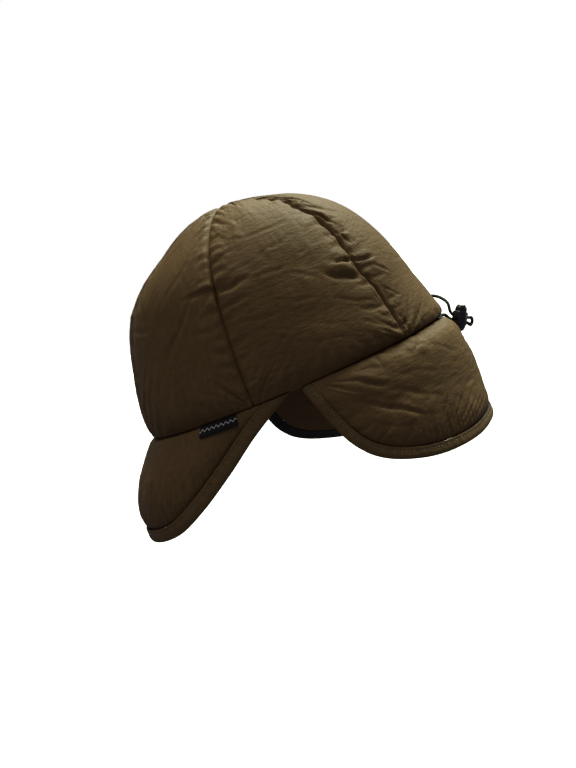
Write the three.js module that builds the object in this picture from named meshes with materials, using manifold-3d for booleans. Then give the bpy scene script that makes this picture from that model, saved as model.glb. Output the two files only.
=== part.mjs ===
// Padded bomber hat: a six-panel quilted crown, a drooping padded visor in front and a wide
// padded neck flap that also covers the ears. A thin elastic cord with a ball-topped cord lock
// lies at the back of the rim seam.
//
// Millimetres. The front of the hat is -Y, the wearer's left is +X and +Z is up.
// The origin is the centre of the rim seam, which lies in the plane z = 0.
// Azimuth is measured in degrees from the front, towards the wearer's left.
import * as THREE from 'three';
import { mergeVertices } from 'three/addons/utils/BufferGeometryUtils.js';
import Module from 'manifold-3d';

// Driving dimensions of the padded cloth
const RIM_FRONT_LENGTH = 101.5;
const RIM_BACK_LENGTH = 100.5;
const RIM_HALF_WIDTH = 86;
const CROWN_HEIGHT = 120.8;
const FULLNESS_FRONT = 2.15;
const FULLNESS_BACK = 1.94;
const SEAM_WALL = 3;
const PANEL_OUTER_PUFF = 3.6;
const PANEL_INNER_PUFF = 1.5;
const PIECE_GAP = 0.3;
const RIM_ROLL_FRONT = 0.4;
const RIM_ROLL_BACK = 3;
const RIM_ROLL_HEIGHT = 6;
const FLAP_PUFF = 2.8;
const GATHER_SPACING = 17;
const GATHER_DEPTH = 0.8;
const FLAP_INNER_PUFF = 1.6;
const FULL_PAD_DROP = 40;
const VISOR_REACH = 28;
const VISOR_REACH_DEPTH = 54;
const VISOR_NARROWING = 1.2;
const VISOR_POINT = 1.5;
const VISOR_BINDING_WIDTH = 9;
const NECK_REACH = 8;
const NECK_REACH_DEPTH = 16;
const NECK_SPREAD_FRONT = 1.5;
const NECK_FLARE_SIDE = 0.18;
const NECK_FLARE_BACK = 0.04;
const NECK_BINDING_WIDTH = 7;
const RIGHT_EAR_ARC = 130;
const RIGHT_EAR_RISE = 0.08;
const RIGHT_EAR_SPREAD = 0.16;
const BINDING_THICKNESS = 3.6;
const BACK_DENT_DEPTH = 4;
const BACK_DENT_HALF_WIDTH = 12;
const BACK_DENT_HEIGHT = 26;

// Crown seams on one side of the hat, with the mesh columns of the panel behind each one
const CROWN_SEAMS = [
  { name: 'front', rimAzimuth: 0, topAzimuth: 0, columns: 9 },
  { name: 'side_front', rimAzimuth: 58, topAzimuth: 56, columns: 12 },
  { name: 'side_back', rimAzimuth: 127, topAzimuth: 138, columns: 9 },
  { name: 'back', rimAzimuth: 180, topAzimuth: 180, columns: 0 },
];

// Main folds and pinches of the crown. side is 1 on the wearer's left and -1 on the right, turn
// is the fold's slope in degrees, length and width are half sizes in mm, and press is the share
// of the padding's puff that the fold takes away.
const CROWN_FOLDS = [
  { name: 'back_seam_pinch', side: 1, azimuth: 129, elevation: 26, turn: 5, length: 17, width: 7, press: 1 },
  { name: 'back_seam_pocket', side: 1, azimuth: 132, elevation: 55, turn: 80, length: 22, width: 8, press: 0.9 },
  { name: 'front_seam_pinch', side: 1, azimuth: 58, elevation: 35, turn: -8, length: 15, width: 6, press: 0.9 },
  { name: 'side_arc', side: 1, azimuth: 113, elevation: 23, turn: -25, length: 18, width: 8, press: 0.5 },
  { name: 'side_upper', side: 1, azimuth: 84, elevation: 39, turn: 6, length: 42, width: 11, press: 0.5 },
  { name: 'side_lower', side: 1, azimuth: 104, elevation: 15, turn: -6, length: 46, width: 10, press: 0.45 },
  { name: 'front_upright', side: 1, azimuth: 40, elevation: 27, turn: 76, length: 36, width: 8, press: 0.5 },
  { name: 'front_pucker', side: 1, azimuth: 14, elevation: 33, turn: 0, length: 14, width: 7, press: 0.6 },
  { name: 'back_seam_pinch', side: -1, azimuth: 129, elevation: 34, turn: -8, length: 16, width: 7, press: 0.9 },
  { name: 'front_seam_pinch', side: -1, azimuth: 58, elevation: 24, turn: 10, length: 15, width: 6, press: 0.9 },
  { name: 'side_upper', side: -1, azimuth: 96, elevation: 42, turn: -8, length: 38, width: 11, press: 0.5 },
  { name: 'side_lower', side: -1, azimuth: 84, elevation: 18, turn: 7, length: 40, width: 10, press: 0.45 },
  { name: 'front_upright', side: -1, azimuth: 30, elevation: 24, turn: 100, length: 32, width: 8, press: 0.5 },
];

// Main folds of the flaps, in the flap's own arc and drop. A negative arc is the wearer's left
// on the neck flap and the wearer's right on the visor.
const NECK_FOLDS = [
  { name: 'left_ear', arc: -116, drop: 30, turn: -8, length: 34, width: 8, press: 0.8 },
  { name: 'left_back', arc: -62, drop: 44, turn: 12, length: 28, width: 8, press: 0.5 },
  { name: 'right_ear', arc: 112, drop: 34, turn: 10, length: 32, width: 8, press: 0.7 },
  { name: 'right_back', arc: 48, drop: 26, turn: -14, length: 26, width: 8, press: 0.5 },
];
const VISOR_FOLDS = [
  { name: 'middle', arc: 6, drop: 22, turn: 84, length: 18, width: 7, press: 0.5 },
  { name: 'left', arc: 44, drop: 20, turn: 70, length: 16, width: 6, press: 0.4 },
  { name: 'right', arc: -40, drop: 22, turn: 108, length: 16, width: 6, press: 0.4 },
];

// How far the stuffed crown stands out from a plain dome, in front and at the back
const CROWN_SWELL = [
  { elevation: 0, front: 0, back: 0 },
  { elevation: 18, front: -1.6, back: -1.6 },
  { elevation: 36, front: 0, back: 2.6 },
  { elevation: 48, front: -2, back: 3.4 },
  { elevation: 62, front: -5, back: 0.2 },
  { elevation: 76, front: -1.6, back: -2.4 },
  { elevation: 90, front: 0, back: 0 },
];

// Free edges of the flaps, from the middle of each flap to its front or back end at the rim.
// arc is measured along the rim from the middle of the flap and drop straight down from it.
const VISOR_EDGE = [
  { arc: 0, drop: 59.5 },
  { arc: 20, drop: 59 },
  { arc: 36, drop: 55.5 },
  { arc: 52, drop: 46 },
  { arc: 69, drop: 32.5 },
  { arc: 87, drop: 18 },
  { arc: 104, drop: 8 },
  { arc: 114, drop: 2.8 },
  { arc: 120, drop: 0 },
];
const NECK_EDGE = [
  { arc: 0, drop: 70.5 },
  { arc: 38, drop: 72 },
  { arc: 70, drop: 73.8 },
  { arc: 100, drop: 71.5 },
  { arc: 122, drop: 65.5 },
  { arc: 140, drop: 56 },
  { arc: 152, drop: 42.5 },
  { arc: 160, drop: 23 },
  { arc: 167, drop: 0 },
];

// Label, drawcord and cord lock
const LABEL_FROM_AZIMUTH = 35;
const LABEL_TO_AZIMUTH = 50.5;
const LABEL_DROP = 6.6;
const LABEL_THICKNESS = 1;
const LABEL_LIFT = 2;
const CORD_DIAMETER = 2.2;
const TOGGLE_TILT = 33;
const BARREL_RADIUS = 5.2;
const BARREL_HEIGHT = 13;
const BARREL_FLOOR = 1.1;
const BARREL_EDGE = 0.8;
const BUTTON_RADIUS = 4.1;
const BUTTON_BALL_RISE = 1.3;
const BUTTON_TRAVEL = 2.5;
const BORE_CLEARANCE = 0.35;
const STRAND_SPACING = 3.4;
const UPPER_STRAND_DEPTH = 3.1;
const BARREL_TOP = new THREE.Vector3(0, 121.2, -5);

const MEAN_RIM_RADIUS = (RIM_FRONT_LENGTH + RIM_BACK_LENGTH + 2 * RIM_HALF_WIDTH) / 4;
const MM_PER_DEGREE = THREE.MathUtils.degToRad(MEAN_RIM_RADIUS);
const MM_PER_RISE = THREE.MathUtils.degToRad((MEAN_RIM_RADIUS + CROWN_HEIGHT) / 2);
const radians = THREE.MathUtils.degToRad;
const lerp = THREE.MathUtils.lerp;
const clamp = THREE.MathUtils.clamp;

const olive = { color: 0x4f4229, roughness: 0.72, metalness: 0 };
const oliveTrim = { color: 0x54472e, roughness: 0.78, metalness: 0 };
const wovenBlack = { color: 0x15161a, roughness: 0.8, metalness: 0 };
const elasticBlack = { color: 0x0d0d10, roughness: 0.7, metalness: 0 };
const glossBlack = { color: 0x08080a, roughness: 0.22, metalness: 0 };

const hat = new THREE.Group();

function addPiece(name, geometry, finish) {
  const piece = new THREE.Mesh(geometry, new THREE.MeshStandardMaterial(finish));
  piece.name = name;
  hat.add(piece);
  return piece;
}

// Radius of the rim seam at an azimuth
function rimRadius(azimuth) {
  const a = radians(azimuth);
  const length = Math.cos(a) > 0 ? RIM_FRONT_LENGTH : RIM_BACK_LENGTH;
  return 1 / Math.hypot(Math.sin(a) / RIM_HALF_WIDTH, Math.cos(a) / length);
}

function pointAt(azimuth, radius, z) {
  const a = radians(azimuth);
  return new THREE.Vector3(Math.sin(a) * radius, -Math.cos(a) * radius, z);
}

// 0 at the start, 1 from the end on, rising steeply first
function easeOut(x) {
  const left = 1 - clamp(x, 0, 1);
  return 1 - left * left;
}

// How far round the back an azimuth is, 0 in front and 1 at the back
function backness(azimuth) {
  return (1 - Math.cos(radians(azimuth))) / 2;
}

// Unit normal of a surface of two parameters
function normalOf(surface, u, v) {
  const step = 1e-3;
  const alongU = surface(u + step, v).sub(surface(u - step, v));
  const alongV = surface(u, v + step).sub(surface(u, v - step));
  return alongU.cross(alongV).normalize();
}

// A closed solid between two grids of points with the same rows and columns. The outer grid's
// columns run towards the wearer's left and its rows run upwards. Repeated points are welded.
function solidBetween(outer, inner) {
  const positions = [];
  const seen = new Map();
  const index = (p) => {
    const key = [p.x, p.y, p.z].map((c) => Math.round(c * 1e4)).join();
    if (!seen.has(key)) {
      seen.set(key, positions.length / 3);
      positions.push(p.x, p.y, p.z);
    }
    return seen.get(key);
  };
  const faces = [];
  const triangle = (a, b, c) => {
    if (a !== b && b !== c && c !== a) faces.push(a, b, c);
  };
  const quad = (a, b, c, d) => {
    triangle(a, b, c);
    triangle(a, c, d);
  };
  const out = outer.map((row) => row.map(index));
  const inn = inner.map((row) => row.map(index));
  const lastRow = out.length - 1;
  const lastColumn = out[0].length - 1;
  for (let i = 0; i < lastRow; i += 1) {
    for (let j = 0; j < lastColumn; j += 1) {
      quad(out[i][j], out[i][j + 1], out[i + 1][j + 1], out[i + 1][j]);
      quad(inn[i][j], inn[i + 1][j], inn[i + 1][j + 1], inn[i][j + 1]);
    }
    quad(out[i][0], out[i + 1][0], inn[i + 1][0], inn[i][0]);
    quad(out[i][lastColumn], inn[i][lastColumn], inn[i + 1][lastColumn], out[i + 1][lastColumn]);
  }
  for (let j = 0; j < lastColumn; j += 1) {
    quad(out[0][j], inn[0][j], inn[0][j + 1], out[0][j + 1]);
    quad(out[lastRow][j], out[lastRow][j + 1], inn[lastRow][j + 1], inn[lastRow][j]);
  }
  const geometry = new THREE.BufferGeometry();
  geometry.setAttribute('position', new THREE.Float32BufferAttribute(positions, 3));
  geometry.setIndex(faces);
  return geometry;
}

const SWELL_CURVES = ['front', 'back'].map((column) => new THREE.SplineCurve(
  CROWN_SWELL.map((row) => new THREE.Vector2(row.elevation, row[column])),
));

function swell(azimuth, elevation) {
  const rows = CROWN_SWELL.length - 1;
  const above = CROWN_SWELL.findIndex((row) => row.elevation >= elevation);
  const k = clamp(above, 1, rows);
  const low = CROWN_SWELL[k - 1].elevation;
  const t = (k - 1 + (elevation - low) / (CROWN_SWELL[k].elevation - low)) / rows;
  const towardsBack = -Math.cos(radians(azimuth));
  const curve = SWELL_CURVES[towardsBack > 0 ? 1 : 0];
  return Math.abs(towardsBack) ** 1.5 * curve.getPoint(clamp(t, 0, 1)).y;
}

// Crown: a dome that is a little fuller than round in front.
// elevation runs from 0 at the rim to 90 at the pole.
function crownBase(azimuth, elevation) {
  const e = radians(elevation);
  const power = 2 / lerp(FULLNESS_FRONT, FULLNESS_BACK, backness(azimuth));
  const spread = Math.max(Math.cos(e), 0) ** power;
  const rise = Math.max(Math.sin(e), 0) ** power;
  const stand = swell(azimuth, elevation);
  const radius = rimRadius(azimuth) * spread + stand * Math.cos(e);
  return pointAt(azimuth, radius, CROWN_HEIGHT * rise + stand * Math.sin(e));
}

const SEAM_SWING_ELEVATION = 75;

// A seam swings from its azimuth at the rim to the one near the top
function seamAzimuth(seam, elevation) {
  const t = clamp(elevation / SEAM_SWING_ELEVATION, 0, 1);
  return lerp(seam.rimAzimuth, seam.topAzimuth, t ** 3);
}

const CROWN_ROWS = 15;
const CROWN_LOWEST_ELEVATION = 0.05;
const CROWN_LAST_RING_ELEVATION = 86;
const POLE_WELD_ELEVATION = 89.9;
const EVEN_ROWS_SHARE = 0.6;
const BULGE_POWER = 2.6;
const NARROW_RING_RADIUS = 42;
const FULL_PUFF_HEIGHT = 16;

// The share of the puff that the folds of a list leave at a place, given by its distances in mm
// from each fold's middle
function puffLeft(folds, offsets) {
  let left = 1;
  for (const fold of folds) {
    const { x, y } = offsets(fold);
    const turn = radians(fold.turn);
    const along = (x * Math.cos(turn) + y * Math.sin(turn)) / fold.length;
    const off = (y * Math.cos(turn) - x * Math.sin(turn)) / fold.width;
    left *= 1 - fold.press * Math.exp(-(along ** 2) - off ** 2);
  }
  return left;
}

// Rows lie closer together near the rim, where the panels curl in to the seam
function rowShare(t) {
  return lerp(t * t, t, EVEN_ROWS_SHARE);
}

// One padded wedge between two seams. side is 1 for the wearer's left and -1 for the right.
function crownPanel(seamA, seamB, side) {
  const folds = CROWN_FOLDS.filter((fold) => fold.side === side);
  const outer = [];
  const inner = [];
  for (let i = 0; i <= CROWN_ROWS; i += 1) {
    const atPole = i === CROWN_ROWS;
    const elevation = atPole
      ? POLE_WELD_ELEVATION
      : lerp(CROWN_LOWEST_ELEVATION, CROWN_LAST_RING_ELEVATION, rowShare(i / (CROWN_ROWS - 1)));
    const from = seamAzimuth(seamA, elevation);
    const to = seamAzimuth(seamB, elevation);
    const outerRow = [];
    const innerRow = [];
    for (let j = 0; j <= seamA.columns; j += 1) {
      const across = j / seamA.columns;
      const middle = (from + to) / 2;
      const plain = crownBase(lerp(from, to, across), elevation);
      const ringRadius = Math.hypot(plain.x, plain.y);
      const inset = THREE.MathUtils.radToDeg(PIECE_GAP / 2 / Math.max(ringRadius, 1));
      const azimuth = atPole ? middle : lerp(from + inset, to - inset, across);
      const base = crownBase(azimuth, elevation);
      const normal = normalOf(crownBase, azimuth, elevation);
      const bulge = atPole ? 0 : 1 - Math.abs(2 * across - 1) ** BULGE_POWER;
      const narrowing = Math.min(1, ringRadius / NARROW_RING_RADIUS);
      const rimRise = easeOut(base.z / FULL_PUFF_HEIGHT);
      const puff = bulge * narrowing * rimRise;
      const roll = lerp(RIM_ROLL_FRONT, RIM_ROLL_BACK, backness(azimuth) ** 3);
      const rolled = easeOut(base.z / RIM_ROLL_HEIGHT) * (1 - base.z / CROWN_HEIGHT);
      const left = puffLeft(folds, (fold) => ({
        x: (azimuth - fold.azimuth) * MM_PER_DEGREE * Math.cos(radians(fold.elevation)),
        y: (elevation - fold.elevation) * MM_PER_RISE,
      }));
      const lift = PANEL_OUTER_PUFF * puff * left + roll * rolled;
      const depth = SEAM_WALL + PANEL_INNER_PUFF * puff;
      const top = base.clone().addScaledVector(normal, lift);
      const under = base.clone().addScaledVector(normal, -depth);
      top.z = Math.max(top.z, PIECE_GAP / 2);
      under.z = i === 0 ? PIECE_GAP / 2 : Math.max(under.z, PIECE_GAP / 2);
      if (i === 0) top.z = PIECE_GAP / 2;
      top.x *= side;
      under.x *= side;
      outerRow.push(top);
      innerRow.push(under);
    }
    if (side < 0) {
      outerRow.reverse();
      innerRow.reverse();
    }
    outer.push(outerRow);
    inner.push(innerRow);
  }
  return solidBetween(outer, inner);
}

let panelNumber = 0;
for (const side of [1, -1]) {
  for (let k = 0; k + 1 < CROWN_SEAMS.length; k += 1) {
    panelNumber += 1;
    addPiece(`crown_panel_${panelNumber}`, crownPanel(CROWN_SEAMS[k], CROWN_SEAMS[k + 1], side), olive);
  }
}

// Flaps. A flap's surface is a function of the arc along the rim from its middle and of the
// drop below the rim. middle is the azimuth of its middle, and reach says how far its outer
// face stands out from the rim seam at that place.
function visorReach(azimuth, drop) {
  const spread = Math.max(0, Math.cos(radians(azimuth * VISOR_NARROWING))) ** VISOR_POINT;
  return VISOR_REACH * spread * Math.sin(radians(90 * clamp(drop / VISOR_REACH_DEPTH, 0, 1)));
}

function neckReach(azimuth, drop) {
  const round = easeOut(drop / NECK_REACH_DEPTH);
  const fromBack = MM_PER_DEGREE * Math.abs(Math.abs(azimuth) - 180);
  const dent = Math.exp(-((fromBack / BACK_DENT_HALF_WIDTH) ** 2)) * Math.exp(-((drop / BACK_DENT_HEIGHT) ** 2));
  const flare = lerp(NECK_FLARE_SIDE, NECK_FLARE_BACK, Math.abs(Math.cos(radians(azimuth))));
  const spread = lerp(NECK_SPREAD_FRONT, NECK_REACH, backness(azimuth)) - BACK_DENT_DEPTH * dent;
  return spread * round + flare * drop;
}

// The ear flap on the wearer's right stands a little further out and so hangs less deep
function rightEar(arc) {
  return THREE.MathUtils.smoothstep(arc, 0, RIGHT_EAR_ARC);
}

const visor = {
  middle: 0, loose: () => 0, reach: visorReach, edge: VISOR_EDGE, folds: VISOR_FOLDS, bindingWidth: VISOR_BINDING_WIDTH,
};
const neckFlap = {
  middle: 180, loose: rightEar, reach: neckReach, edge: NECK_EDGE, folds: NECK_FOLDS, bindingWidth: NECK_BINDING_WIDTH,
};

function flapFace(flap, arc, drop) {
  const azimuth = flap.middle + arc / MM_PER_DEGREE;
  const loose = flap.loose(arc);
  const out = flap.reach(azimuth > 180 ? azimuth - 360 : azimuth, drop) + RIGHT_EAR_SPREAD * loose * drop;
  return pointAt(azimuth, rimRadius(azimuth) + out, -drop * (1 - RIGHT_EAR_RISE * loose));
}

// The free edge as a smooth curve in the flap's own flat coordinates, from one end to the other
function freeEdge(flap) {
  const half = flap.edge.map((row) => new THREE.Vector2(row.arc, row.drop));
  const mirrored = half.slice(1).reverse().map((p) => new THREE.Vector2(-p.x, p.y));
  return new THREE.SplineCurve([...mirrored, ...half]);
}

// Samples of the free edge with the line that lies one binding width inside it
function edgeLines(flap, steps) {
  const curve = freeEdge(flap);
  const lines = [];
  for (let i = 0; i <= steps; i += 1) {
    const t = i / steps;
    const edge = curve.getPointAt(t);
    const tangent = curve.getTangentAt(t);
    const inward = new THREE.Vector2(tangent.y, -tangent.x);
    const seam = edge.clone().addScaledVector(inward, flap.bindingWidth);
    lines.push({ edge, seam, inward });
  }
  return lines;
}

// Where the binding's seam meets the rim, counted in samples from either end
function firstBelowRim(lines) {
  return lines.findIndex((line) => line.seam.y > PIECE_GAP);
}

const FLAP_ROWS = 7;
const FLAP_FAN = 1.2;
const FILL_POWER = 0.7;
const FILL_TAPER_SHARE = 1 / 8;

// The padded body of a flap, from the rim seam to the binding's seam
function flapBody(flap, steps) {
  const lines = edgeLines(flap, steps);
  const first = firstBelowRim(lines);
  const last = steps - first;
  const face = (arc, drop) => flapFace(flap, arc, drop);
  const outer = [];
  const inner = [];
  for (let i = 0; i <= FLAP_ROWS; i += 1) {
    const down = 1 - i / FLAP_ROWS;
    const outerRow = [];
    const innerRow = [];
    for (let j = first; j <= last; j += 1) {
      const end = lines[j].seam.clone().addScaledVector(lines[j].inward, PIECE_GAP);
      const along = (j - steps / 2) / (steps / 2 - first);
      const rimArc = along * Math.abs(lines[first].seam.x);
      const ease = Math.sin(down * Math.PI / 2) ** FLAP_FAN;
      const arc = lerp(rimArc, end.x, ease);
      const drop = lerp(PIECE_GAP / 2, Math.max(end.y, PIECE_GAP), down);
      const base = face(arc, drop);
      const normal = normalOf(face, arc, drop).negate();
      const fromEnd = clamp(Math.min(j - first, last - j) / (steps * FILL_TAPER_SHARE), 0, 1);
      const depthShare = clamp(end.y / FULL_PAD_DROP, 0, 1);
      const fill = (Math.sin(Math.PI * down) * fromEnd) ** FILL_POWER * depthShare;
      const left = puffLeft(flap.folds, (fold) => ({ x: arc - fold.arc, y: fold.drop - drop }));
      const gather = Math.cos(2 * Math.PI * end.x / GATHER_SPACING) * Math.sin(Math.PI * down * down);
      const lift = FLAP_PUFF * fill * left + GATHER_DEPTH * gather * fill;
      const top = base.clone().addScaledVector(normal, lift);
      const under = base.clone().addScaledVector(normal, -SEAM_WALL - FLAP_INNER_PUFF * fill);
      if (i === FLAP_ROWS) {
        top.z = -PIECE_GAP / 2;
        under.z = -PIECE_GAP / 2;
      }
      top.z = Math.min(top.z, -PIECE_GAP / 2);
      under.z = Math.min(under.z, -PIECE_GAP / 2);
      outerRow.push(top);
      innerRow.push(under);
    }
    outer.push(outerRow);
    inner.push(innerRow);
  }
  return solidBetween(outer, inner);
}

// The folded strip along a flap's free edge, rounded where it turns over the edge
const BINDING_SECTION = [
  { across: 1, shrink: 0.4 },
  { across: 0.82, shrink: 0.05 },
  { across: 0.3, shrink: 0 },
  { across: 0, shrink: 0.12 },
];

function flapBinding(flap, steps) {
  const lines = edgeLines(flap, steps);
  const face = (arc, drop) => flapFace(flap, arc, drop);
  const outer = [];
  const inner = [];
  for (const row of BINDING_SECTION) {
    const outerRow = [];
    const innerRow = [];
    for (let j = 0; j <= steps; j += 1) {
      const place = lines[j].seam.clone().lerp(lines[j].edge, row.across);
      const drop = Math.max(place.y, PIECE_GAP / 2);
      const base = face(place.x, drop);
      const normal = normalOf(face, place.x, drop).negate();
      const half = BINDING_THICKNESS / 2;
      const middle = base.clone().addScaledVector(normal, -half);
      const top = middle.clone().addScaledVector(normal, half * (1 - row.shrink));
      const under = middle.clone().addScaledVector(normal, -half * (1 - row.shrink));
      top.z = Math.min(top.z, -PIECE_GAP / 2);
      under.z = Math.min(under.z, -PIECE_GAP / 2);
      outerRow.push(top);
      innerRow.push(under);
    }
    outer.push(outerRow);
    inner.push(innerRow);
  }
  return solidBetween(outer, inner);
}

addPiece('visor', flapBody(visor, 40), olive);
addPiece('visor_binding', flapBinding(visor, 44), oliveTrim);
addPiece('neck_flap', flapBody(neckFlap, 60), olive);
addPiece('neck_flap_binding', flapBinding(neckFlap, 64), oliveTrim);

// Label: a flat folded tab that hangs from the rim seam over the visor
function labelTab(steps) {
  const face = (arc, drop) => flapFace(visor, arc, drop);
  const outer = [];
  const inner = [];
  for (const drop of [LABEL_DROP, LABEL_DROP / 2, PIECE_GAP]) {
    const outerRow = [];
    const innerRow = [];
    for (let j = 0; j <= steps; j += 1) {
      const arc = MM_PER_DEGREE * lerp(LABEL_FROM_AZIMUTH, LABEL_TO_AZIMUTH, j / steps);
      const normal = normalOf(face, arc, drop).negate();
      const lift = lerp(PIECE_GAP, LABEL_LIFT, drop / LABEL_DROP);
      const under = face(arc, drop).addScaledVector(normal, lift);
      innerRow.push(under);
      outerRow.push(under.clone().addScaledVector(normal, LABEL_THICKNESS));
    }
    outer.push(outerRow);
    inner.push(innerRow);
  }
  return solidBetween(outer, inner);
}

addPiece('label', labelTab(6), wovenBlack);

// Cord lock. It is drawn upright with the middle of the barrel's open top at its origin and
// the cord's slots along Y, then leans back against the neck flap.
const wasm = await Module();
wasm.setup();

function toSolid(geometry) {
  const bare = geometry.clone();
  bare.deleteAttribute('normal');
  bare.deleteAttribute('uv');
  const merged = mergeVertices(bare, 1e-4);
  const vertProperties = new Float32Array(merged.getAttribute('position').array);
  const triVerts = new Uint32Array(merged.getIndex().array);
  return new wasm.Manifold(new wasm.Mesh({ numProp: 3, vertProperties, triVerts }));
}

function toGeometry(solid) {
  const mesh = solid.getMesh();
  const geometry = new THREE.BufferGeometry();
  geometry.setAttribute('position', new THREE.BufferAttribute(mesh.vertProperties, 3));
  geometry.setIndex(new THREE.BufferAttribute(mesh.triVerts, 1));
  return geometry;
}

// A turned solid about +Z from rows of radius and height, listed from the bottom up
function turned(rows, sides) {
  const profile = rows.map((row) => new THREE.Vector2(row.radius, row.z));
  return new THREE.LatheGeometry(profile, sides).rotateX(Math.PI / 2);
}

function slotCutter(topZ, bottomZ) {
  const width = CORD_DIAMETER + 2 * PIECE_GAP;
  const box = new THREE.BoxGeometry(width, 4 * BARREL_RADIUS, topZ - bottomZ);
  return box.translate(0, 0, (topZ + bottomZ) / 2);
}

const SLOT_TOP = -(UPPER_STRAND_DEPTH - CORD_DIAMETER / 2 - PIECE_GAP);
const SLOT_BOTTOM = -(UPPER_STRAND_DEPTH + STRAND_SPACING + CORD_DIAMETER / 2 + PIECE_GAP);
const BORE_RADIUS = BUTTON_RADIUS + BORE_CLEARANCE;
const BORE_STEP = -8;
const STEM_RADIUS = 2.9;
const BORE_BOTTOM = -(BARREL_HEIGHT - BARREL_FLOOR);
const SHOULDER = BORE_STEP + BUTTON_TRAVEL + PIECE_GAP;
const STEM_BOTTOM = BORE_BOTTOM + BUTTON_TRAVEL + PIECE_GAP;
const ROUND_SIDES = 20;

function barrelSolid() {
  const body = turned([
    { radius: 0, z: -BARREL_HEIGHT },
    { radius: 2.6, z: -BARREL_HEIGHT },
    { radius: 3.8, z: -BARREL_HEIGHT + BARREL_EDGE },
    { radius: 4.2, z: -BARREL_HEIGHT + 2 * BARREL_EDGE },
    { radius: BARREL_RADIUS, z: BORE_STEP },
    { radius: BARREL_RADIUS, z: -BARREL_EDGE },
    { radius: BARREL_RADIUS - BARREL_EDGE / 2, z: 0 },
    { radius: BORE_RADIUS, z: 0 },
    { radius: BORE_RADIUS, z: BORE_STEP },
    { radius: STEM_RADIUS + BORE_CLEARANCE, z: BORE_STEP },
    { radius: STEM_RADIUS + BORE_CLEARANCE, z: BORE_BOTTOM },
    { radius: 0, z: BORE_BOTTOM },
  ], ROUND_SIDES);
  return toGeometry(toSolid(body).subtract(toSolid(slotCutter(SLOT_TOP, SLOT_BOTTOM))));
}

function buttonSolid() {
  const rows = [
    { radius: 0, z: STEM_BOTTOM },
    { radius: STEM_RADIUS, z: STEM_BOTTOM },
    { radius: STEM_RADIUS, z: SHOULDER },
    { radius: BUTTON_RADIUS, z: SHOULDER },
    { radius: BUTTON_RADIUS, z: -3 },
    { radius: BUTTON_RADIUS - 0.5, z: -2 },
  ];
  const ballSteps = 8;
  const lowest = -40;
  for (let i = 0; i <= ballSteps; i += 1) {
    const angle = radians(lerp(lowest, 90, i / ballSteps));
    const radius = i === ballSteps ? 0 : BUTTON_RADIUS * Math.cos(angle);
    rows.push({ radius, z: BUTTON_BALL_RISE + BUTTON_RADIUS * Math.sin(angle) });
  }
  const slot = slotCutter(SLOT_TOP + BUTTON_TRAVEL, SLOT_BOTTOM);
  return toGeometry(toSolid(turned(rows, ROUND_SIDES)).subtract(toSolid(slot)));
}

for (const [name, geometry] of [['toggle_barrel', barrelSolid()], ['toggle_button', buttonSolid()]]) {
  const piece = addPiece(name, geometry, glossBlack);
  piece.rotation.x = -radians(TOGGLE_TILT);
  piece.position.copy(BARREL_TOP);
}

// Drawcord. It leaves the rim seam on the wearer's left, passes through the cord lock, turns
// back through it and arches over to the rim seam on the right.
const CORD_IN_GROOVE = 2.1;

function inGroove(azimuth, beyond, z) {
  return pointAt(azimuth, rimRadius(azimuth) + beyond, z);
}

// A place in the cord lock's own directions: to the left, outwards across it and up its axis
function atToggle(x, across, along) {
  const place = new THREE.Vector3(x, across, along);
  return place.applyAxisAngle(new THREE.Vector3(1, 0, 0), -radians(TOGGLE_TILT)).add(BARREL_TOP);
}

const UPPER = -UPPER_STRAND_DEPTH;
const LOWER = UPPER - STRAND_SPACING;
const CORD_ROUTE = [
  inGroove(156, CORD_IN_GROOVE, 0),
  inGroove(162, CORD_IN_GROOVE, 0),
  inGroove(168, CORD_IN_GROOVE, 0),
  inGroove(172.5, CORD_IN_GROOVE + 0.8, -0.4),
  atToggle(6.4, -12.4, LOWER + 1.6),
  atToggle(2.2, -8, LOWER + 0.4),
  atToggle(0.2, -4.6, LOWER),
  atToggle(0, -1.5, LOWER),
  atToggle(0, 1.5, LOWER),
  atToggle(0, 5.2, LOWER),
  atToggle(-0.8, 7.1, LOWER - 0.35),
  atToggle(-2.5, 8.8, LOWER - 0.75),
  atToggle(-4.25, 10.2, LOWER - 0.05),
  atToggle(-4.8, 10.7, (UPPER + LOWER) / 2),
  atToggle(-4.25, 10.2, UPPER + 0.05),
  atToggle(-2.5, 8.8, UPPER + 0.75),
  atToggle(-0.8, 7.1, UPPER + 0.35),
  atToggle(0, 5.2, UPPER),
  atToggle(0, 1.5, UPPER),
  atToggle(0, -1.5, UPPER),
  atToggle(0, -4.8, UPPER + 0.1),
  atToggle(-0.8, -7, -1.2),
  new THREE.Vector3(-3, 116, 3.4),
  new THREE.Vector3(-8, 115.1, 7.8),
  new THREE.Vector3(-15, 112.3, 11.3),
  new THREE.Vector3(-22, 109.2, 11.6),
  new THREE.Vector3(-28, 106.4, 8.4),
  new THREE.Vector3(-32.5, 102.6, 4),
  inGroove(-157, CORD_IN_GROOVE + 0.3, 0.3),
  inGroove(-152, CORD_IN_GROOVE, 0),
];
const CORD_STEPS = 80;

function cordTube(route, diameter, steps) {
  const section = new THREE.Shape();
  const sides = 8;
  for (let i = 0; i < sides; i += 1) {
    const a = 2 * Math.PI * i / sides;
    const place = [Math.cos(a) * diameter / 2, Math.sin(a) * diameter / 2];
    if (i === 0) section.moveTo(...place);
    else section.lineTo(...place);
  }
  section.closePath();
  const path = new THREE.CatmullRomCurve3(route, false, 'centripetal');
  return new THREE.ExtrudeGeometry(section, { steps, bevelEnabled: false, extrudePath: path });
}

addPiece('drawcord', cordTube(CORD_ROUTE, CORD_DIAMETER, CORD_STEPS), elasticBlack);

export default hat;
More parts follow.
